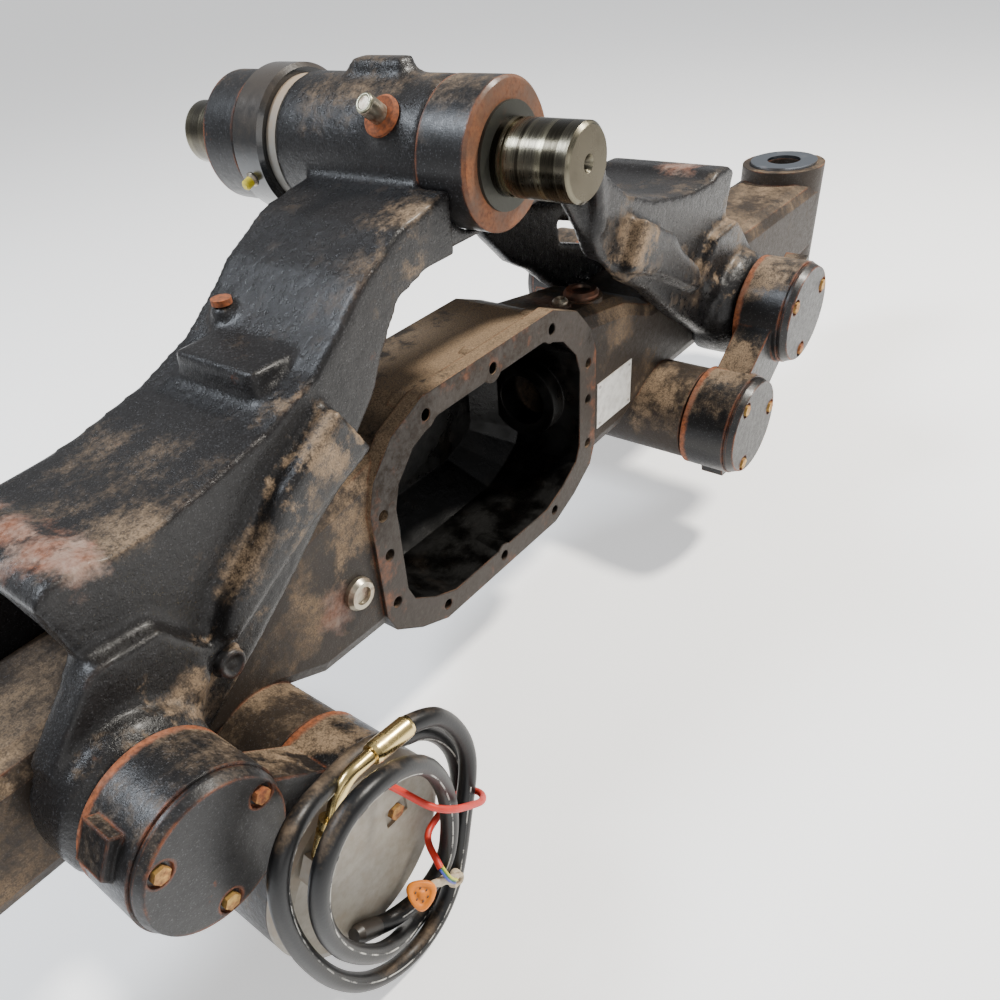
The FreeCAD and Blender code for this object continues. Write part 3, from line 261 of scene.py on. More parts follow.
class Graph:
    """Short words for building a node tree: each call adds a node and gives back its socket."""

    def __init__(self, tree):
        self.tree = tree

    def node(self, kind, inputs=None, **settings):
        made = self.tree.nodes.new(kind)
        for key, value in settings.items():
            setattr(made, key, value)
        for key, value in (inputs or {}).items():
            feed(self.tree, made.inputs[key], value)
        return made

    def place(self):
        return self.node("ShaderNodeTexCoord").outputs["Object"]

    def stretch(self, vector, scale=(1, 1, 1), location=(0, 0, 0), rotation=(0, 0, 0)):
        return self.node("ShaderNodeMapping", {"Vector": vector, "Scale": scale,
                         "Location": location, "Rotation": rotation}).outputs[0]

    def noise(self, vector, scale, detail=4.0, rough=0.55):
        return self.node("ShaderNodeTexNoise", {"Vector": vector, "Scale": scale, "Detail": detail,
                         "Roughness": rough}).outputs["Fac"]

    def math(self, word, a, b=0.0, clamp=False):
        return self.node("ShaderNodeMath", {0: a, 1: b}, operation=word, use_clamp=clamp).outputs[0]

    def times(self, a, b, clamp=False):
        return self.math("MULTIPLY", a, b, clamp)

    def plus(self, a, b, clamp=False):
        return self.math("ADD", a, b, clamp)

    def minus(self, a, b):
        return self.math("SUBTRACT", a, b)

    def absolute(self, a):
        return self.math("ABSOLUTE", a)

    def step(self, value, low, high, to_low=0.0, to_high=1.0):
        return self.node("ShaderNodeMapRange", {"Value": value, "From Min": low, "From Max": high,
                         "To Min": to_low, "To Max": to_high},
                         interpolation_type="SMOOTHSTEP").outputs[0]

    def blend(self, factor, a, b):
        return self.node("ShaderNodeMix", {0: factor, 6: a, 7: b}, data_type="RGBA").outputs[2]

    def axis(self, vector, name):
        return self.node("ShaderNodeSeparateXYZ", {0: vector}).outputs[name]

    def facing(self):
        return self.node("ShaderNodeNewGeometry").outputs["Normal"]

    def away(self, vector, point):
        return self.node("ShaderNodeVectorMath", {0: vector, 1: point},
                         operation="DISTANCE").outputs["Value"]

    def rounded(self, radius):
        return self.node("ShaderNodeBevel", {"Radius": radius}, samples=4).outputs[0]

    def bump(self, height, strength, depth, normal=None):
        inputs = {"Height": height, "Strength": strength, "Distance": depth}
        if normal is not None:
            inputs["Normal"] = normal
        return self.node("ShaderNodeBump", inputs).outputs[0]


def wire(g, node, **sockets):
    """Links or sets a node's inputs, named with _ for a space."""
    for key, value in sockets.items():
        feed(g.tree, node.inputs[key.replace("_", " ")], value)


def new_group(name, inputs, outputs):
    """An empty shader node group with named sockets."""
    tree = bpy.data.node_groups.new(name, "ShaderNodeTree")
    for label, kind, value in inputs:
        socket = tree.interface.new_socket(name=label, in_out="INPUT", socket_type=kind)
        socket.default_value = value
    for label, kind in outputs:
        tree.interface.new_socket(name=label, in_out="OUTPUT", socket_type=kind)
    return tree, tree.nodes.new("NodeGroupInput"), tree.nodes.new("NodeGroupOutput")


FLOAT, COLOUR, VECTOR = "NodeSocketFloat", "NodeSocketColor", "NodeSocketVector"


def weather_group():
    """Dust that settles on upper faces, rust on worn edges and spots, and the casting's grain."""
    tree, source, sink = new_group(
        "weathered casting",
        [("Paint", COLOUR, (0.02, 0.02, 0.02, 1)), ("Dust", COLOUR, (0.4, 0.3, 0.2, 1)),
         ("Rust", COLOUR, (0.3, 0.1, 0.03, 1)), ("Dust Amount", FLOAT, 0.4),
         ("Rust Amount", FLOAT, 0.3), ("Gloss", FLOAT, 0.4), ("Patch", FLOAT, 0.0)],
        [("Color", COLOUR), ("Roughness", FLOAT), ("Height", FLOAT)])
    g = Graph(tree)
    i = source.outputs
    where = g.place()
    broad = g.noise(where, BROAD, 4.0, 0.6)
    middle = g.noise(where, MIDDLE, 6.0, 0.62)
    fine = g.noise(where, FINE, 5.0, 0.65)
    grain = g.noise(where, GRAIN, 3.0, 0.6)
    lumps = g.noise(where, LUMPS, 3.0, 0.5)
    streak = g.noise(g.stretch(where, (42, 42, 5)), 1.0, 5.0, 0.6)
    up = g.step(g.axis(g.facing(), "Z"), -0.55, 0.95, -0.22, 0.2)
    dusty = g.plus(g.times(broad, 0.95), g.times(middle, 0.75))
    dusty = g.plus(dusty, g.times(streak, 0.35))
    # The Patch input adds the listed tan patches; on the saddle and the housing these are partly painted
    # sunlight.
    dusty = g.plus(g.plus(dusty, up), i["Patch"])
    dusty = g.plus(dusty, g.times(i["Dust Amount"], 0.6))
    dust = g.step(g.plus(dusty, g.times(fine, 0.45)), DUST_STARTS, DUST_FULL)
    pitted = g.step(g.plus(g.times(grain, 0.6), g.times(fine, 0.5)), 0.42, 0.66, 0.30)
    dust = g.times(dust, pitted)
    same = g.node("ShaderNodeVectorMath", {0: g.rounded(WORN_EDGE), 1: g.facing()},
                  operation="DOT_PRODUCT").outputs["Value"]
    edge = g.step(g.minus(1.0, same), 0.008, 0.10)
    spots = g.step(g.plus(middle, g.times(fine, 0.35)), 0.86, 0.97)
    rusty = g.plus(g.times(edge, g.step(middle, 0.40, 0.62)), g.times(spots, 0.8), clamp=True)
    rusty = g.times(rusty, i["Rust Amount"], clamp=True)
    paint = g.blend(g.step(broad, 0.35, 0.7, 0.0, 0.35), i["Paint"], FADED_PAINT)
    paint = g.blend(g.step(grain, 0.56, 0.74, 0.0, 0.55), paint, PALE_GRAIN)
    tan = g.blend(g.step(fine, 0.3, 0.75), i["Dust"], g.blend(0.55, i["Dust"], DAMP_DUST))
    base = g.blend(g.times(dust, 0.92), paint, tan)
    iron = g.blend(g.step(fine, 0.35, 0.7), i["Rust"], DARK_RUST)
    dull = g.plus(i["Gloss"], g.times(dust, 0.45))
    dull = g.plus(dull, g.times(rusty, 0.30))
    dull = g.plus(dull, g.step(fine, 0.3, 0.7, -0.07, 0.07), clamp=True)
    height = g.plus(g.times(fine, 0.5), g.times(grain, 0.35))
    height = g.plus(height, g.times(lumps, 0.9))
    wire(g, sink, Color=g.blend(rusty, base, iron), Roughness=dull, Height=height)
    return tree


def bare_group():
    """Machined metal with uneven rust bloom."""
    tree, source, sink = new_group(
        "machined metal",
        [("Metal", COLOUR, (0.2, 0.18, 0.16, 1)), ("Rust", COLOUR, (0.3, 0.1, 0.03, 1)),
         ("Rust Amount", FLOAT, 0.5), ("Polish", FLOAT, 0.35)],
        [("Color", COLOUR), ("Roughness", FLOAT), ("Height", FLOAT), ("Metallic", FLOAT)])
    g = Graph(tree)
    i = source.outputs
    where = g.place()
    middle = g.noise(where, 38.0, 6.0, 0.65)
    fine = g.noise(where, 260.0, 5.0, 0.6)
    rusty = g.plus(middle, g.times(fine, 0.4))
    rusty = g.step(g.plus(rusty, g.times(i["Rust Amount"], 0.8)), 0.78, 1.25)
    dark = g.blend(g.step(fine, 0.3, 0.72), i["Rust"], DEEP_RUST)
    wire(g, sink, Color=g.blend(rusty, i["Metal"], dark),
         Roughness=g.plus(i["Polish"], g.times(rusty, 0.42), clamp=True),
         Height=g.plus(g.times(fine, 0.7), middle), Metallic=g.minus(1.0, g.times(rusty, 0.9)))
    return tree


def spot_group():
    """A soft ragged patch round a point: one at its middle, nothing past its radius."""
    tree, source, sink = new_group(
        "ragged patch",
        [("Centre", VECTOR, (0, 0, 0)), ("Radius", FLOAT, 0.05), ("Ragged", FLOAT, 0.0)],
        [("Mask", FLOAT)])
    g = Graph(tree)
    i = source.outputs
    away = g.math("DIVIDE", g.away(g.place(), i["Centre"]), i["Radius"])
    wire(g, sink, Mask=g.step(g.plus(away, i["Ragged"]), 1.0, 0.25))
    return tree


GROUPS = {}


def use_group(g, name, inputs):
    """Places one of the shared groups, with its own values."""
    if name not in GROUPS:
        GROUPS[name] = {"weather": weather_group, "bare": bare_group, "spot": spot_group}[name]()
    return g.node("ShaderNodeGroup", inputs, node_tree=GROUPS[name]).outputs


def bare_metal(g, metal, rust_amount, polish, rust=None):
    """Machined metal's outputs, with the shared rust colour unless the piece has its own."""
    return use_group(g, "bare", {"Metal": metal, "Rust": rust or colour("rust"),
                                 "Rust Amount": rust_amount, "Polish": polish})


def new_material(name, metallic=0.0, specular=0.5, coat=0.0, coat_rough=0.25):
    """A material with one shader, whose constants are set on its own sockets."""
    material = bpy.data.materials.new(name)
    material.use_nodes = True
    material.node_tree.nodes.clear()
    g = Graph(material.node_tree)
    shader = g.node("ShaderNodeBsdfPrincipled", {
        "Metallic": metallic, "Specular IOR Level": specular,
        "Coat Weight": coat, "Coat Roughness": coat_rough})
    end = g.node("ShaderNodeOutputMaterial")
    g.tree.links.new(shader.outputs[0], end.inputs[0])
    return material, g, shader


def wear_through(g, shader, mask, shade, rough, bare):
    """Shows the bare metal where the mask is one, and the paint's colour and roughness elsewhere."""
    wire(g, shader, Base_Color=g.blend(mask, shade, bare["Color"]),
         Roughness=g.blend(mask, rough, bare["Roughness"]))


def spots(g, places):
    """Adds up ragged patches: each is a point, a radius and a strength."""
    total = 0.0
    where = g.place()
    ragged = g.times(g.minus(g.noise(where, 42.0, 7.0, 0.68), 0.5), 2.4)
    for point, radius, strength in places:
        mask = use_group(g, "spot", {"Centre": point, "Radius": radius, "Ragged": ragged})["Mask"]
        total = g.plus(g.times(mask, strength), total)
    return total


def cast_material(name, paint, dust, rust, gloss, dusty=(), rusty=(), coat=0.1, grain=0.0012,
                  specular=0.30):
    """Rough-cast paint, with its own places for dust and rust; on the saddle and the housing the dust
    places also paint sunlight.
    """
    material, g, shader = new_material(name, specular=specular, coat=coat, coat_rough=0.22)
    # The listed tan places: dust, and on the saddle and the housing also painted sunlight.
    patch = spots(g, dusty) if dusty else 0.0
    out = use_group(g, "weather", {
        "Paint": colour(paint), "Dust": colour("dust"), "Rust": colour("rust"),
        "Dust Amount": dust, "Rust Amount": rust, "Gloss": gloss, "Patch": patch})
    shade, rough = out["Color"], out["Roughness"]
    if rusty:
        mask = g.math("MINIMUM", spots(g, rusty), 1.0)
        bare = bare_metal(g, (0.26, 0.19, 0.155, 1), 0.40, 0.55, (0.20, 0.070, 0.035, 1))
        shade = g.blend(mask, shade, bare["Color"])
    wire(g, shader, Base_Color=shade, Roughness=rough,
         Normal=g.bump(out["Height"], 0.55, grain, g.rounded(SOFT_EDGE)))
    return material, g, shader, shade, rough


def machined_material(name, metal, rust, polish, depth):
    """Turned or ground metal with its own share of rust."""
    material, g, shader = new_material(name)
    out = bare_metal(g, metal, rust, polish)
    wire(g, shader, Base_Color=out["Color"], Roughness=out["Roughness"], Metallic=out["Metallic"],
         Normal=g.bump(out["Height"], 0.5, depth))
    return material


def plain_material(name, tint, rough, metallic=0.0, grain=900.0, depth=0.0001, dust=0.25, coat=0.0):
    """Moulded or plated stuff: slight mottling, a fine grain and a little dust on top."""
    material, g, shader = new_material(name, metallic=metallic, coat=coat)
    where = g.place()
    mottle = g.noise(where, 90.0, 4.0, 0.6)
    darker = tuple(channel * 0.72 for channel in tint)
    shade = g.blend(g.step(mottle, 0.3, 0.75), tint + (1.0,), darker + (1.0,))
    settled = g.step(g.plus(g.axis(g.facing(), "Z"), g.times(mottle, 1.4)), 0.55, 1.6)
    shade = g.blend(g.times(settled, dust), shade, colour("dust"))
    wire(g, shader, Base_Color=shade, Roughness=g.step(mottle, 0.2, 0.8, rough - 0.07, rough + 0.1),
         Normal=g.bump(g.noise(where, grain, 3.0, 0.6), 0.35, depth))
    return material


def housing_material():
    """The housing's paint, with the bare flange face and the black hollow behind it, coloured near black
    for its oily film and as painted shade.

    Across the flange, (|x| / half width)^6 + (|z| / half height)^6 is under one inside the opening.
    """
    material, g, shader, shade, rough = cast_material(
        "housing casting", "housing_paint", 0.18, 0.5, 0.50, HOUSING_DUST_AND_SUNLIGHT, HOUSING_RUST,
        coat=0.0, grain=0.0011, specular=0.18)
    where = g.place()
    side, depth, height = (g.axis(where, name) for name in "XYZ")
    toward = g.step(g.axis(g.facing(), "Y"), -0.90, -0.98)
    flange = g.times(toward, g.step(g.absolute(g.minus(depth, FLANGE_PLANE)), 0.0015, 0.0006))
    metal = bare_metal(g, (0.034, 0.027, 0.022, 1), -0.04, 0.45)
    across = g.math("POWER", g.absolute(g.math("DIVIDE", side, OPENING_HALF[0])), 6.0)
    level = g.math("DIVIDE", g.plus(height, -FLANGE_LEVEL), OPENING_HALF[1])
    rise = g.math("POWER", g.absolute(level), 6.0)
    inside = g.step(g.plus(across, rise), 1.25, 0.9)
    inside = g.times(inside, g.step(depth, FLANGE_PLANE + 0.0002, FLANGE_PLANE + 0.0018))
    inside = g.times(inside, g.step(depth, HOLLOW_BACK[1], HOLLOW_BACK[0]))
    # Painted shade: inside the opening the colour goes near black, partly for the oily film and partly
    # for the shade in the hollow.
    oil_and_shade = g.blend(g.step(g.noise(where, 30.0, 6.0, 0.65), 0.5, 0.8), BLACK_OIL_AND_SHADE, OIL_FILM_AND_SHADE)
    beyond = g.times(g.math("MAXIMUM", across, rise), 0.11)
    rim = g.step(g.plus(g.noise(where, 60.0, 5.0, 0.6), beyond), 0.67, 0.97)
    face = g.blend(g.times(rim, 0.7), metal["Color"], BRIGHT_RUST)
    shade = g.blend(flange, shade, face)
    shade = g.blend(inside, shade, oil_and_shade)
    wet = g.step(g.noise(where, 24.0, 4.0), 0.35, 0.65, 0.22, 0.62)
    rough = g.plus(g.times(rough, g.minus(1.0, inside)), g.times(inside, wet))
    wire(g, shader, Base_Color=shade, Roughness=rough)
    return material


def collar_material():
    """Paint on the collar's rim and bare rusty metal on its front face."""
    material, g, shader, shade, rough = cast_material(
        "boss collar", "paint", 0.05, 1.0, 0.36, grain=0.0006)
    front = g.step(g.axis(g.facing(), "Y"), -0.5, -0.8)
    bare = bare_metal(g, (0.085, 0.045, 0.026, 1), 0.40, 0.55, (0.24, 0.085, 0.030, 1))
    wear_through(g, shader, front, shade, rough, bare)
    return material


def pin_material():
    """Ground steel with turned lines round the pin, polished bands and a dirty film."""
    material, g, shader = new_material("trunnion steel", metallic=1.0)
    where = g.place()
    lines = g.noise(g.stretch(where, (20, 900, 20)), 1.0, 3.0, 0.6)
    bands = g.noise(g.stretch(where, (1.5, 55, 1.5)), 1.0, 3.0, 0.55)
    stain = g.noise(where, 32.0, 6.0, 0.65)
    shade = g.blend(g.step(bands, 0.40, 0.62), (0.080, 0.072, 0.055, 1), colour("steel"))
    shade = g.blend(g.step(stain, 0.52, 0.78, 0.0, 0.75), shade, (0.055, 0.040, 0.026, 1))
    depth = g.axis(where, "Y")
    for middle, half in PIN_BANDS:
        band = g.step(g.absolute(g.minus(depth, middle)), half + 0.0008, half, 0.0, 0.85)
        shade = g.blend(band, shade, (0.018, 0.015, 0.011, 1))
    end = g.step(g.axis(g.facing(), "Y"), -0.85, -0.98, 0.0, 0.75)
    shade = g.blend(end, shade, (0.060, 0.048, 0.028, 1))
    rough = g.plus(g.step(lines, 0.3, 0.7, 0.17, 0.31), g.step(stain, 0.4, 0.8, 0.0, 0.22))
    wire(g, shader, Base_Color=shade, Roughness=rough, Normal=g.bump(lines, 0.18, 0.0002))
    return material


def hose_material():
    """Black rubber with a cloth-wrapped skin and dust on its upper side."""
    material, g, shader = new_material("hose rubber", specular=0.30)
    where = g.place()
    broad = g.noise(where, 16.0, 5.0, 0.65)
    fine = g.noise(where, 420.0, 3.0, 0.6)
    up = g.step(g.axis(g.facing(), "Z"), -0.1, 1.0, 0.0, 0.42)
    dust = g.step(g.plus(g.plus(broad, up), g.times(fine, 0.22)), 0.90, 1.40)
    shade = g.blend(g.times(dust, 0.60), BLACK_RUBBER, colour("dust"))
    wire(g, shader, Base_Color=shade, Roughness=g.plus(0.38, g.times(dust, 0.5)),
         Normal=g.bump(fine, 0.4, 0.0003))
    return material


def line_material():
    """The hose's pale line, worn away in places to the black rubber."""
    material, g, shader = new_material("hose line", specular=0.4)
    where = g.place()
    worn = g.plus(g.noise(where, 62.0, 4.0, 0.6), g.times(g.noise(where, 420.0), 0.2))
    worn = g.step(worn, 0.57, 0.66)
    wire(g, shader, Base_Color=g.blend(worn, (0.40, 0.39, 0.36, 1), (0.008, 0.008, 0.009, 1)),
         Roughness=g.step(worn, 0.0, 1.0, 0.65, 0.40),
         Normal=g.bump(g.noise(where, 700.0), 0.3, 0.0001))
    return material


def link_material():
    """Paint on the links, worn to rust where they bear on the washers."""
    material, g, shader, shade, rough = cast_material(
        "link casting", "paint", 0.10, 0.9, 0.36, LINK_DUST)
    where = g.place()
    ragged = g.times(g.minus(g.noise(where, 70.0, 6.0, 0.65), 0.5), 0.010)
    out = g.absolute(g.minus(g.axis(where, "Y"), MIDDLE_PLANE))
    bearing = g.step(g.plus(out, ragged), RUBBED_AT + 0.009, RUBBED_AT + 0.004)
    flat = g.absolute(g.axis(g.facing(), "Y"))
    bearing = g.times(bearing, g.step(flat, 0.9, 0.6))
    bare = bare_metal(g, (0.17, 0.10, 0.07, 1), 0.55, 0.5)
    wear_through(g, shader, bearing, shade, rough, bare)
    return material


# Places where the dust or rust gathers, in metres: point, radius, strength. The saddle's and the
# housing's tan patches are also painted sunlight, on the faces that the sun lit.
# Tan patches on the saddle: dust, and painted sunlight and highlights on its right faces and ridges.
SADDLE_DUST_AND_SUNLIGHT = [
    ((-0.333, 0.039, -0.200), 0.060, 0.42), ((-0.262, 0.039, -0.177), 0.060, 0.45),
    ((-0.255, 0.039, -0.128), 0.055, 0.40), ((-0.359, 0.051, -0.270), 0.050, 0.30),
    ((-0.415, 0.051, -0.313), 0.075, 0.50), ((-0.430, 0.039, -0.258), 0.050, 0.32),
    ((-0.088, 0.062, -0.036), 0.050, 0.36), ((-0.130, 0.062, -0.060), 0.040, 0.28),
    ((0.218, 0.062, -0.139), 0.060, 0.42), ((0.246, 0.051, -0.191), 0.070, 0.50),
    ((0.376, 0.051, -0.249), 0.080, 0.50), ((0.466, 0.045, -0.215), 0.060, 0.42),
    ((-0.430, 0.075, -0.134), 0.060, 0.22), ((0.060, 0.060, -0.030), 0.060, 0.30),
    ((-0.030, 0.200, 0.055), 0.060, 0.20), ((-0.500, 0.050, -0.300), 0.070, 0.30),
]
SADDLE_RUST = [
    ((-0.463, 0.146, -0.132), 0.030, 1.0), ((-0.462, 0.106, -0.132), 0.032, 1.0),
    ((-0.458, 0.078, -0.132), 0.026, 1.0), ((-0.466, 0.190, -0.132), 0.026, 0.9),
    ((0.464, 0.120, -0.132), 0.032, 0.9),
]
# Tan patches on the housing: dust, and painted sunlight on its top.
HOUSING_DUST_AND_SUNLIGHT = [
    ((0.066, 0.130, -0.184), 0.110, 0.50), ((-0.020, 0.130, -0.184), 0.100, 0.50),
    ((-0.120, 0.120, -0.200), 0.100, 0.45), ((-0.190, 0.100, -0.262), 0.070, 0.45),
    ((0.683, 0.096, -0.254), 0.120, 0.12), ((0.801, 0.100, -0.252), 0.100, 0.10),
    ((0.307, 0.044, -0.411), 0.070, 0.30), ((0.320, 0.068, -0.350), 0.060, 0.35),
    ((-0.300, 0.085, -0.330), 0.080, 0.30), ((-0.560, 0.080, -0.330), 0.120, 0.35),
    ((0.260, 0.090, -0.235), 0.090, 0.40),
]
HOUSING_RUST = [
    ((-0.250, 0.0805, -0.335), 0.030, 0.7), ((0.200, 0.140, -0.215), 0.040, 0.6),
]
LINK_DUST = [
    ((-0.40, 0.020, -0.300), 0.070, 0.45), ((-0.350, 0.010, -0.345), 0.060, 0.45),
    ((-0.420, 0.020, -0.360), 0.050, 0.30), ((0.385, -0.010, -0.343), 0.055, 0.55),
    ((0.470, 0.010, -0.270), 0.060, 0.35), ((0.350, 0.000, -0.400), 0.050, 0.35),
]


def mesh_object(name, points, faces, smooth=True):
    """Puts computed points and faces into a new mesh at the origin."""
    mesh = bpy.data.meshes.new(name)
    mesh.from_pydata(np.asarray(points).tolist(), [], faces)
    mesh.polygons.foreach_set("use_smooth", np.full(len(mesh.polygons), smooth))
    mesh.update()
    return place_object(name, mesh)


def strip_faces(rows, columns, first=0, closed=True):
    """Quads of a grid of rows by columns, wrapped round its columns where closed."""
    row, column = np.meshgrid(np.arange(rows - 1), np.arange(columns if closed else columns - 1),
                              indexing="ij")
    following = (column + 1) % columns
    quads = np.stack([row * columns + column, row * columns + following,
                      (row + 1) * columns + following, (row + 1) * columns + column], -1)
    return (quads.reshape(-1, 4) + first).tolist()


def capped_faces(rows, columns):
    """Quads of a closed grid, with its first and last rows filled."""
    last = [(rows - 1) * columns + k for k in range(columns)]
    return strip_faces(rows, columns) + [list(range(columns))[::-1], last]


def swept(path, profile, across):
    """Points of a profile carried along a path.

    Each section stands square to the path: its first axis is the across direction made square to the
    tangent, its second axis the tangent crossed with the first, and a point is path + u * first +
    v * second.
    """
    path = np.asarray(path, float)
    tangent = np.gradient(path, axis=0)
    tangent /= np.linalg.norm(tangent, axis=1)[:, None]
    first = np.asarray(across, float) - (np.asarray(across) * tangent).sum(1)[:, None] * tangent
    first /= np.linalg.norm(first, axis=1)[:, None]
    second = np.cross(tangent, first)
    profile = np.asarray(profile, float)
    if profile.ndim == 2:
        profile = np.repeat(profile[None], len(path), 0)
    return (path[:, None] + profile[..., :1] * first[:, None] + profile[..., 1:] * second[:, None])


def tube_object(name, path, profile, across):
    """A closed piece: a profile carried along a path, with both ends capped."""
    rings = swept(path, profile, across)
    return fix_normals(mesh_object(name, rings.reshape(-1, 3), capped_faces(*rings.shape[:2])))


def turned_object(name, profile, outline, centre, turn=((0, -1, 0), (1, 0, 0), (0, 0, 1))):
    """A closed piece: a profile of distance and radius, turned about a line.

    A point is centre + d * line + r * w * (cos a * side + sin a * other), where d and r are the
    profile's distance and radius, and w is the outline's width at the angle a. The turn holds the
    line, the side and the other direction.
    """
    profile, (line, side, other) = np.asarray(profile), np.asarray(turn, float)
    angle = np.linspace(0, 2 * np.pi, len(outline), endpoint=False)[:, None]
    spokes = (np.cos(angle) * side + np.sin(angle) * other) * np.asarray(outline)[:, None]
    points = centre + profile[:, :1, None] * line + profile[:, 1:, None] * spokes
    faces = capped_faces(len(profile), len(outline))
    return fix_normals(mesh_object(name, points.reshape(-1, 3), faces))


def fix_normals(made):
    """Turns every face of a closed new mesh outwards."""
    work = bmesh.new()
    work.from_mesh(made.data)
    bmesh.ops.recalc_face_normals(work, faces=work.faces)
    work.to_mesh(made.data)
    work.free()
    return made


def circle(radius, count=12):
    """Points of a circle, as (r cos a, r sin a)."""
    angle = np.linspace(0, 2 * np.pi, count, endpoint=False)
    return np.stack([radius * np.cos(angle), radius * np.sin(angle)], 1)


def rounded_path(points, count):
    """A smooth path near the points: the quadratic blend of each corner between its two midpoints."""
    points = np.asarray(points, float)
    middles = (points[1:] + points[:-1]) / 2
    corners = points[1:-1]
    starts = np.vstack([points[:1], middles[1:-1]])
    ends = np.vstack([middles[1:-1], points[-1:]])
    t = np.linspace(0, 1, count)[None, :, None]
    curve = ((1 - t) ** 2 * starts[:, None] + 2 * t * (1 - t) * corners[:, None]
             + t ** 2 * ends[:, None])
    path = curve.reshape(-1, 3)
    keep = np.ones(len(path), bool)
    keep[count::count] = False
    return path[keep]


def place_object(name, data):
    """Puts a mesh, a curve, a lamp or a camera into the scene at the origin."""
    made = bpy.data.objects.new(name, data)
    bpy.context.scene.collection.objects.link(made)
    return made


def spline_object(name, route, radius):
    """A round cord whose line is one open spline with the route's points as its control points."""
    curve = bpy.data.curves.new(name, "CURVE")
    curve.dimensions = "3D"
    spline = curve.splines.new("NURBS")
    spline.points.add(len(route) - 1)
    flat = np.column_stack([np.asarray(route), np.ones(len(route))]).ravel()
    spline.points.foreach_set("co", flat)
    spline.order_u = 3
    spline.use_endpoint_u = True
    spline.resolution_u = 8
    curve.bevel_depth = radius
    curve.bevel_resolution = 6
    curve.use_fill_caps = True
    return place_object(name, curve)


def read_line(made):
    """Points along a cord's own spline, read from a copy of it with no bevel."""
    curve = made.data.copy()
    curve.bevel_depth = 0.0
    bare = bpy.data.objects.new("line", curve)
    mesh = bpy.data.meshes.new_from_object(bare)
    points = np.empty(len(mesh.vertices) * 3)
    mesh.vertices.foreach_get("co", points)
    bpy.data.objects.remove(bare)
    bpy.data.meshes.remove(mesh)
    bpy.data.curves.remove(curve)
    return points.reshape(-1, 3)


def finish(made, material, body="left_links"):
    """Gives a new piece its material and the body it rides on."""
    made.data.materials.append(material)
    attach(made, body)
    return made


class AXLE_OT_camera(bpy.types.Operator):
    """Set the camera where the photographer stood."""
    bl_idname = "axle.camera"
    bl_label = "Camera"

    def execute(self, context):
        data = bpy.data.cameras.new("camera")
        data.lens, data.sensor_width = CAMERA_LENS, CAMERA_SENSOR
        data.shift_x, data.shift_y = CAMERA_SHIFT
        data.clip_start, data.clip_end = 0.02, 60.0
        camera = place_object("camera", data)
        forward = Vector(CAMERA_AIM).normalized()
        right = forward.cross(Vector((0, 0, 1))).normalized()
        up = right.cross(forward)
        tilted = math.cos(CAMERA_ROLL) * right + math.sin(CAMERA_ROLL) * up
        upward = -math.sin(CAMERA_ROLL) * right + math.cos(CAMERA_ROLL) * up
        turn = Matrix((tilted, upward, -forward)).transposed().to_4x4()
        camera.matrix_world = Matrix.Translation(CAMERA_PLACE) @ turn
        context.scene.camera = camera
        return {"FINISHED"}


class AXLE_OT_hose(bpy.types.Operator):
    """Wind the rubber hose on the left link, with the pale line along it."""
    bl_idname = "axle.hose"
    bl_label = "Coiled hose"

    def execute(self, context):
        radius = sizes().hose_diameter / 2
        hose = finish(spline_object("coiled_hose", HOSE_ROUTE, radius), hose_material())
        line = read_line(hose)
        inward = np.array(COIL_CENTRE) - line
        inward[:, 1] = 0
        inward /= np.linalg.norm(inward, axis=1)[:, None]
        across = inward * 0.55 + np.array([0.0, -1.0, 0.0])
        span = np.linspace(-LINE_HALF, LINE_HALF, 5)
        outer = np.stack([np.cos(span), np.sin(span)], 1) * (radius + LINE_OUT)
        inner = np.stack([np.cos(span[::-1]), np.sin(span[::-1])], 1) * (radius - LINE_SUNK)
        stripe = tube_object("hose_line", line[LINE_PART], np.vstack([outer, inner]), across[LINE_PART])
        finish(stripe, line_material())
        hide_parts("hose_coil", "hose_lead")
        return {"FINISHED"}


class AXLE_OT_cable(bpy.types.Operator):
    """Lead the red sensor cable round the hose, and its cores to the taped connector."""
    bl_idname = "axle.cable"
    bl_label = "Sensor cable"

    def execute(self, context):
        radius = sizes().cable_diameter / 2
        red = plain_material("red jacket", (0.62, 0.016, 0.006), 0.45, grain=500.0, dust=0.06)
        jacket = finish(spline_object("red_cable", CABLE_ROUTE, radius), red)
        pieces = []
        for name, tint, shift in CORES:
            aside = np.array([shift, -abs(shift) * 0.5, shift * 0.6])
            path = rounded_path(np.array(CORE_ROUTE) + aside, 9)
            core = tube_object(name, path, circle(sizes().wire_radius, 10), (0, 1, 0.1))
            skin = plain_material(name.replace("_", " "), tint, 0.4, dust=0.0)
            pieces.append(finish(core, skin))
        tape = plain_material("dusty cloth tape", (0.50, 0.42, 0.30), 0.85, grain=1400.0, depth=0.0004)
        strip = strip_object()
        pieces.append(finish(strip, tape))
        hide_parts("cable_tie")
        pieces.append(finish(knot_object(), tape))
        plug, holes = connector_objects()
        orange = plain_material("orange plug", (0.74, 0.20, 0.0), 0.50, grain=400.0, dust=0.0)
        # Painted shade: the socket domes are coloured near black for the dark inside the holes.
        pieces += [finish(plug, orange),
                   finish(holes, plain_material("plug sockets", (0.03, 0.02, 0.015), 0.6))]
        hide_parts("cable_connector")
        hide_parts("sensor_cable")
        return {"FINISHED"}


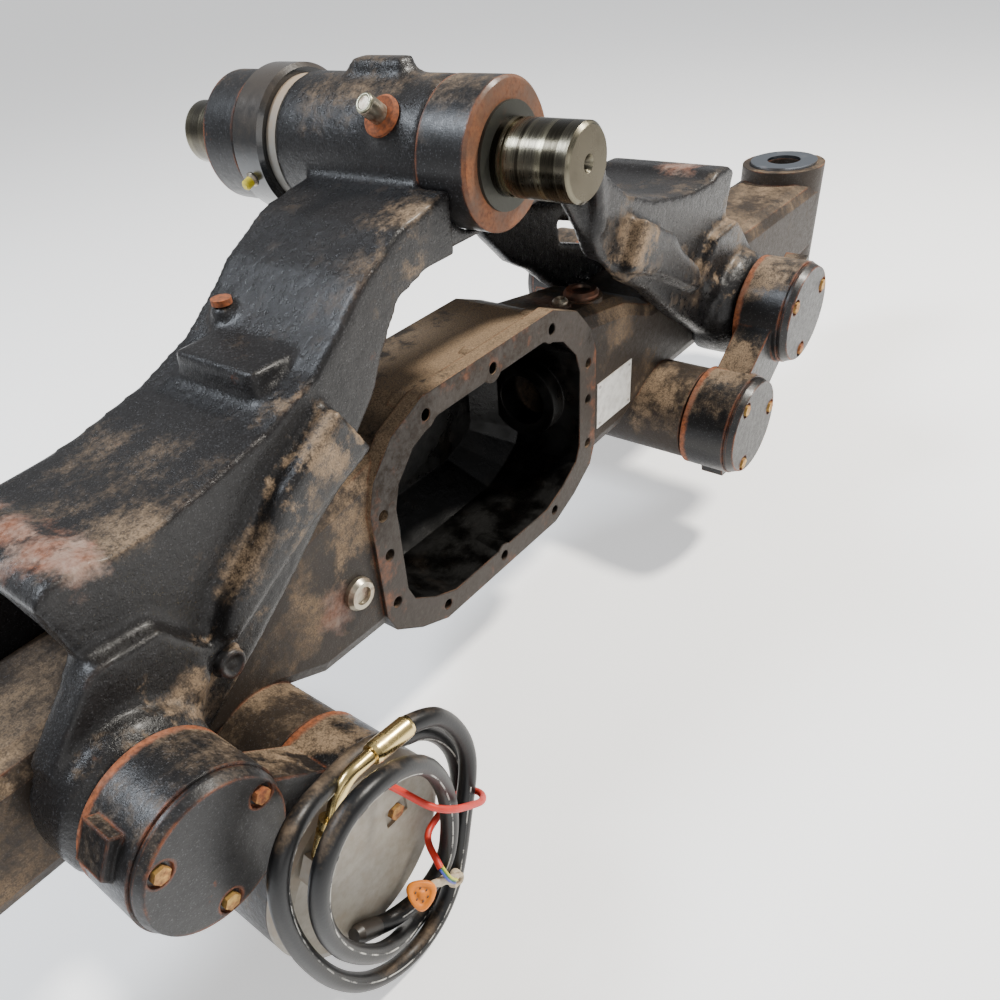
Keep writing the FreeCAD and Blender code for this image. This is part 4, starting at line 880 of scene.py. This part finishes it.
def strip_object():
    """The tape round the cores' lead: a flat six-sided profile carried along the tape's route.

    The profile's width wavers along the route as 1 + 0.12 * sin(t), for t over two and a half turns.
    """
    half, edge, crown = sizes().tape_width / 2, 0.0012, 0.0018
    path = rounded_path(TAPE_ROUTE, 10)
    ripple = np.sin(np.linspace(0, 5 * np.pi, len(path)))[:, None] * 0.12 + 1.0
    side = np.array([(-half, -edge), (0.0, -crown), (half, -edge), (half, edge), (0.0, crown),
                     (-half, edge)])
    return tube_object("tape_strip", path, side[None] * ripple[..., None], TAPE_ACROSS)


def knot_object():
    """The tape's knot: three turns of a strip on a small ring that leans as it goes round.

    A point of its line is knot + (s * cos t, 0.0022 * sin 1.31t, 1.15 * s * sin t) for t over three
    turns, where s is 0.0055 + 0.0016 * sin(0.71t + 0.4).
    """
    t = np.linspace(0, 6 * np.pi, 120)
    swell = 0.0055 + 0.0016 * np.sin(t * 0.71 + 0.4)
    line = np.array(KNOT) + np.stack([swell * np.cos(t), 0.0022 * np.sin(t * 1.31),
                                      swell * 1.15 * np.sin(t)], 1)
    oval = circle(1.0, 10) * np.array([0.0026, 0.0017])
    return tube_object("tape_knot", line, oval, (0, 1, 0))


def connector_objects():
    """The orange plug, a rounded triangle in plan, and the sockets in its face: small domes coloured
    near black as painted shade inside the socket holes.

    Its outline is r(a) = R * (1 + 0.1 * cos(3a) + 0.015 * cos(6a)), drawn in at its front and back
    rims. The whole plug then leans back, so that its face looks up and forward.
    """
    angle = np.linspace(0, 2 * np.pi, 72, endpoint=False)
    outline = PLUG_RADIUS * (1 + 0.10 * np.cos(3 * angle) + 0.015 * np.cos(6 * angle))
    steps = [(0.0, 0.90), (0.0006, 0.97), (0.002, 1.0), (0.0062, 1.0), (0.0072, 0.95),
             (0.0078, 0.86), (0.0078, 0.62), (0.0070, 0.58), (0.0070, 0.30), (0.0078, 0.27)]
    lean = np.array(Vector((0, -1, 0)).rotation_difference(Vector(PLUG_FACES)).to_matrix())
    line, side, other = (lean @ axis for axis in ((0, -1, 0), (1, 0, 0), (0, 0, 1)))
    plug = turned_object("orange_connector", steps, outline, PLUG_CENTRE, (line, side, other))
    spokes = (np.arange(6) * np.pi / 3 + 0.2)[:, None]
    middles = (np.array(PLUG_CENTRE) + SOCKET_FACE * line
               + SOCKET_CIRCLE * (np.cos(spokes) * side + np.sin(spokes) * other))
    return plug, domes("connector_sockets", middles, SOCKET_RADIUS, SOCKET_RISE)


def domes(name, centres, radius, height, rings=6, around=20):
    """Small closed domes facing forward: rings of radius r * sin t at depth h * cos t."""
    t = np.linspace(np.pi / 2, 0.12, rings)[:, None]
    a = np.linspace(0, 2 * np.pi, around, endpoint=False)
    ring = np.stack(np.broadcast_arrays(radius * np.sin(t) * np.cos(a), -height * np.cos(t),
                                        radius * np.sin(t) * np.sin(a)), -1)
    foot = ring[:1] + np.array([0, 0.0004, 0])
    shell = np.concatenate([foot, ring]).reshape(-1, 3)
    centres = np.asarray(centres, float)
    points = (centres[:, None] + shell[None]).reshape(-1, 3)
    one = capped_faces(rings + 1, around)
    faces = [[index + len(shell) * k for index in face] for k in range(len(centres)) for face in one]
    return fix_normals(mesh_object(name, points, faces))


class AXLE_OT_castings(bpy.types.Operator):
    """Paint, dust and rust on the castings, links and covers."""
    bl_idname = "axle.castings"
    bl_label = "Castings"

    def execute(self, context):
        saddle = cast_material("saddle casting", "paint", -0.21, 0.40, 0.31, SADDLE_DUST_AND_SUNLIGHT, SADDLE_RUST,
                               coat=0.08, grain=0.0024, specular=0.24)[0]
        covers = cast_material("pivot cover", "paint", 0.02, 1.0, 0.40, coat=0.08, grain=0.0007)[0]
        sensor = plain_material("sensor cover", (0.27, 0.245, 0.20), 0.46, grain=240.0, depth=0.0003,
                                dust=0.5)
        dress("yoke", saddle)
        soften(NODES["yoke"])
        dress("axle_housing", housing_material())
        dress(("left_front_link", "left_rear_link", "right_front_link", "right_rear_link"),
              link_material())
        dress([name for name in NODES if "_yoke_cover" in name or "_axle_cover" in name], covers)
        dress(("sensor_cover", "hose_port"), sensor)
        dress("front_collar", collar_material())
        finish(lug_object(), lug_material(), body="saddle")
        dress("rear_collar", covers)
        return {"FINISHED"}


def soften(node, voxel=0.0042, rounds=7):
    """Rounds a casting's corners, as moulded iron has them, and gives it an even net of faces."""
    remesh = node.modifiers.new("even net", "REMESH")
    remesh.mode, remesh.voxel_size, remesh.use_smooth_shade = "VOXEL", voxel, True
    relax = node.modifiers.new("moulded corners", "SMOOTH")
    relax.factor, relax.iterations = 0.5, rounds


def dress(names, material):
    """Gives one CAD node, or several, a material in place of their own."""
    for name in ([names] if isinstance(names, str) else names):
        mesh = NODES[name].data
        mesh.materials.clear()
        mesh.materials.append(material)


def lug_object():
    """The short round lug on the left arm's front face.

    Its profile is turned about a line square to the face, and its radius wavers by
    1 + 0.03 * sin(3a), as a rough casting's does.
    """
    profile = [(-0.0060, 0.0165), (-0.0010, 0.0162), (0.0008, 0.0146), (0.0022, 0.0134),
               (0.0085, 0.0128), (0.0102, 0.0122), (0.0110, 0.0108), (0.0107, 0.0088),
               (0.0096, 0.0078), (0.0094, 0.0040), (0.0098, 0.0012)]
    angle = np.linspace(0, 2 * np.pi, 48, endpoint=False)
    return turned_object("arm_lug", profile, 1 + 0.03 * np.sin(3 * angle), LUG_CENTRE)


def port_mouth():
    """The swivel ring on the port fitting's end: a rounded rim turned about the fitting's own line."""
    profile = [(-0.0006, 0.0070), (0.0006, 0.0082), (0.0022, 0.0080), (0.0030, 0.0070),
               (0.0028, 0.0056), (0.0012, 0.0048), (0.0004, 0.0030)]
    square = (PORT_LINE[2], 0.0, -PORT_LINE[0])
    return turned_object("port_mouth", profile, np.ones(40), PORT_END, (PORT_LINE, (0, 1, 0), square))


def mouth_material():
    """Zinc on the ring, painted black inside its mouth as the shade inside the hole."""
    material, g, shader = new_material("swivel ring")
    # Painted shade: a black disc inside the rim stands for the dark inside the fitting's hole.
    bore_shade = g.step(g.away(g.place(), PORT_END), 0.0056, 0.0052)
    out = bare_metal(g, (0.34, 0.33, 0.24, 1), 0.10, 0.35)
    wire(g, shader, Base_Color=g.blend(bore_shade, out["Color"], (0.004, 0.004, 0.004, 1)),
         Roughness=g.blend(bore_shade, out["Roughness"], (0.8, 0.8, 0.8, 1)),
         Metallic=g.times(out["Metallic"], g.minus(1.0, bore_shade)),
         Normal=g.bump(out["Height"], 0.4, 0.0002))
    return material


def lug_material():
    """The saddle's paint, with a tan patch on the lug's upper right side: dust, and a painted highlight
    where the light falls on that side.
    """
    # Painted highlight: the tan patch on the lug's lit upper right side stands for dust and for the
    # light on that side.
    dusty = (LUG_CENTRE[0] + 0.012, LUG_CENTRE[1], LUG_CENTRE[2] + 0.008)
    return cast_material("lug casting", "paint", 0.0, 0.8, 0.42, [(dusty, 0.016, 0.5)], grain=0.0010)[0]


class AXLE_OT_metal(bpy.types.Operator):
    """Finishes of the pins, washers, plugs, bolts and fittings."""
    bl_idname = "axle.metal"
    bl_label = "Pins and fittings"

    def execute(self, context):
        for names, *values in METAL_FINISHES:
            dress(names, machined_material(*values))
        dress("trunnion_pin", pin_material())
        finish(port_mouth(), mouth_material(), body="saddle")
        dress("rear_seal_ring", plain_material("grey seal", (0.20, 0.19, 0.17), 0.6, dust=0.6))
        dress("rear_bearing_ring", plain_material("greased black", (0.008, 0.009, 0.010), 0.20,
                                                  grain=160.0, depth=0.0006, dust=0.08, coat=0.5))
        dress("nipple_cap", plain_material("yellow cap", (0.75, 0.60, 0.03), 0.42, dust=0.1))
        dress(("hose_end", "cable_gland"),
              plain_material("moulded rubber", (0.009, 0.009, 0.009), 0.45, dust=0.06))
        return {"FINISHED"}


class AXLE_OT_plate(bpy.types.Operator):
    """The bare plate's finish and its four drive rivets."""
    bl_idname = "axle.plate"
    bl_label = "Plate and rivets"

    def execute(self, context):
        dress("nameplate", plain_material("bare plate", (0.70, 0.69, 0.66), 0.45, metallic=0.25,
                                          grain=300.0, depth=0.0002, dust=0.35))
        low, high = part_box("nameplate")
        points = [(x, low[1], z) for x in (low[0] + RIVET_INSET, high[0] - RIVET_INSET)
                  for z in (low[2] + RIVET_INSET, high[2] - RIVET_INSET)]
        rivets = domes("plate_rivets", points, RIVET_RADIUS, RIVET_RISE)
        finish(rivets, plain_material("rivet", (0.45, 0.44, 0.42), 0.35, metallic=0.9), body="axle")
        return {"FINISHED"}


class AXLE_OT_stage(bpy.types.Operator):
    """A pale floor and soft studio light."""
    bl_idname = "axle.stage"
    bl_label = "Floor and light"

    def execute(self, context):
        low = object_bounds()[0][2] - FLOOR_GAP
        half = sizes().floor_half
        side = np.linspace(-half, half, 9)
        x, y = np.meshgrid(side, side, indexing="ij")
        points = np.stack([x, y, np.full_like(x, low)], -1).reshape(-1, 3)
        floor = mesh_object("floor", points, strip_faces(9, 9, closed=False))
        material, g, shader = new_material("pale floor")
        pale = g.blend(g.noise(g.place(), 3.0), (0.93, 0.93, 0.93, 1), (0.95, 0.95, 0.95, 1))
        wire(g, shader, Base_Color=pale, Roughness=0.9, Emission_Color=(1, 1, 1, 1),
             Emission_Strength=FLOOR_GLOW)
        floor.data.materials.append(material)
        floor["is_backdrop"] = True
        world = bpy.data.worlds.new("studio")
        world.use_nodes = True
        light = world.node_tree.nodes["Background"]
        light.inputs[0].default_value, light.inputs[1].default_value = ROOM_TINT, ROOM_LIGHT
        context.scene.world = world
        for name, place, size, power, tint in LAMPS:
            data = bpy.data.lights.new(name, "AREA")
            data.shape, data.size, data.energy, data.color = "DISK", size, power, tint
            lamp = place_object(name, data)
            lamp.location = place
            aim = Vector(LAMPS_AIM) - Vector(place)
            lamp.rotation_euler = aim.to_track_quat("-Z", "Y").to_euler()
        return {"FINISHED"}


class AXLE_PT_panel(bpy.types.Panel):
    """Lists the pieces that the scene makes."""
    bl_idname = "AXLE_PT_panel"
    bl_label = "Axle beam"
    bl_space_type = "VIEW_3D"
    bl_region_type = "UI"
    bl_category = "Axle Beam"

    def draw(self, context):
        for operator in OPERATORS:
            self.layout.operator(operator.bl_idname, text=operator.bl_label)
        for group in (context.scene.axle_beam_sizes, context.scene.axle_beam_colours):
            box = self.layout.box()
            for name in group.bl_rna.properties.keys():
                if name not in ("rna_type", "name"):
                    box.prop(group, name)


OPERATORS = (AXLE_OT_camera, AXLE_OT_hose, AXLE_OT_cable, AXLE_OT_castings, AXLE_OT_metal,
             AXLE_OT_plate, AXLE_OT_stage)
CLASSES = (BeamSizes, BeamColours) + OPERATORS + (AXLE_PT_panel,)


def register():
    """Adds the classes and the two property groups to Blender."""
    for made in CLASSES:
        bpy.utils.register_class(made)
    bpy.types.Scene.axle_beam_sizes = bpy.props.PointerProperty(type=BeamSizes)
    bpy.types.Scene.axle_beam_colours = bpy.props.PointerProperty(type=BeamColours)


def unregister():
    """Takes away all that register adds."""
    del bpy.types.Scene.axle_beam_colours
    del bpy.types.Scene.axle_beam_sizes
    for made in reversed(CLASSES):
        bpy.utils.unregister_class(made)


def main():
    """Makes every piece in turn."""
    register()
    for operator in OPERATORS:
        section, word = operator.bl_idname.split(".")
        getattr(getattr(bpy.ops, section), word)()


if __name__ == "__main__":
    main()
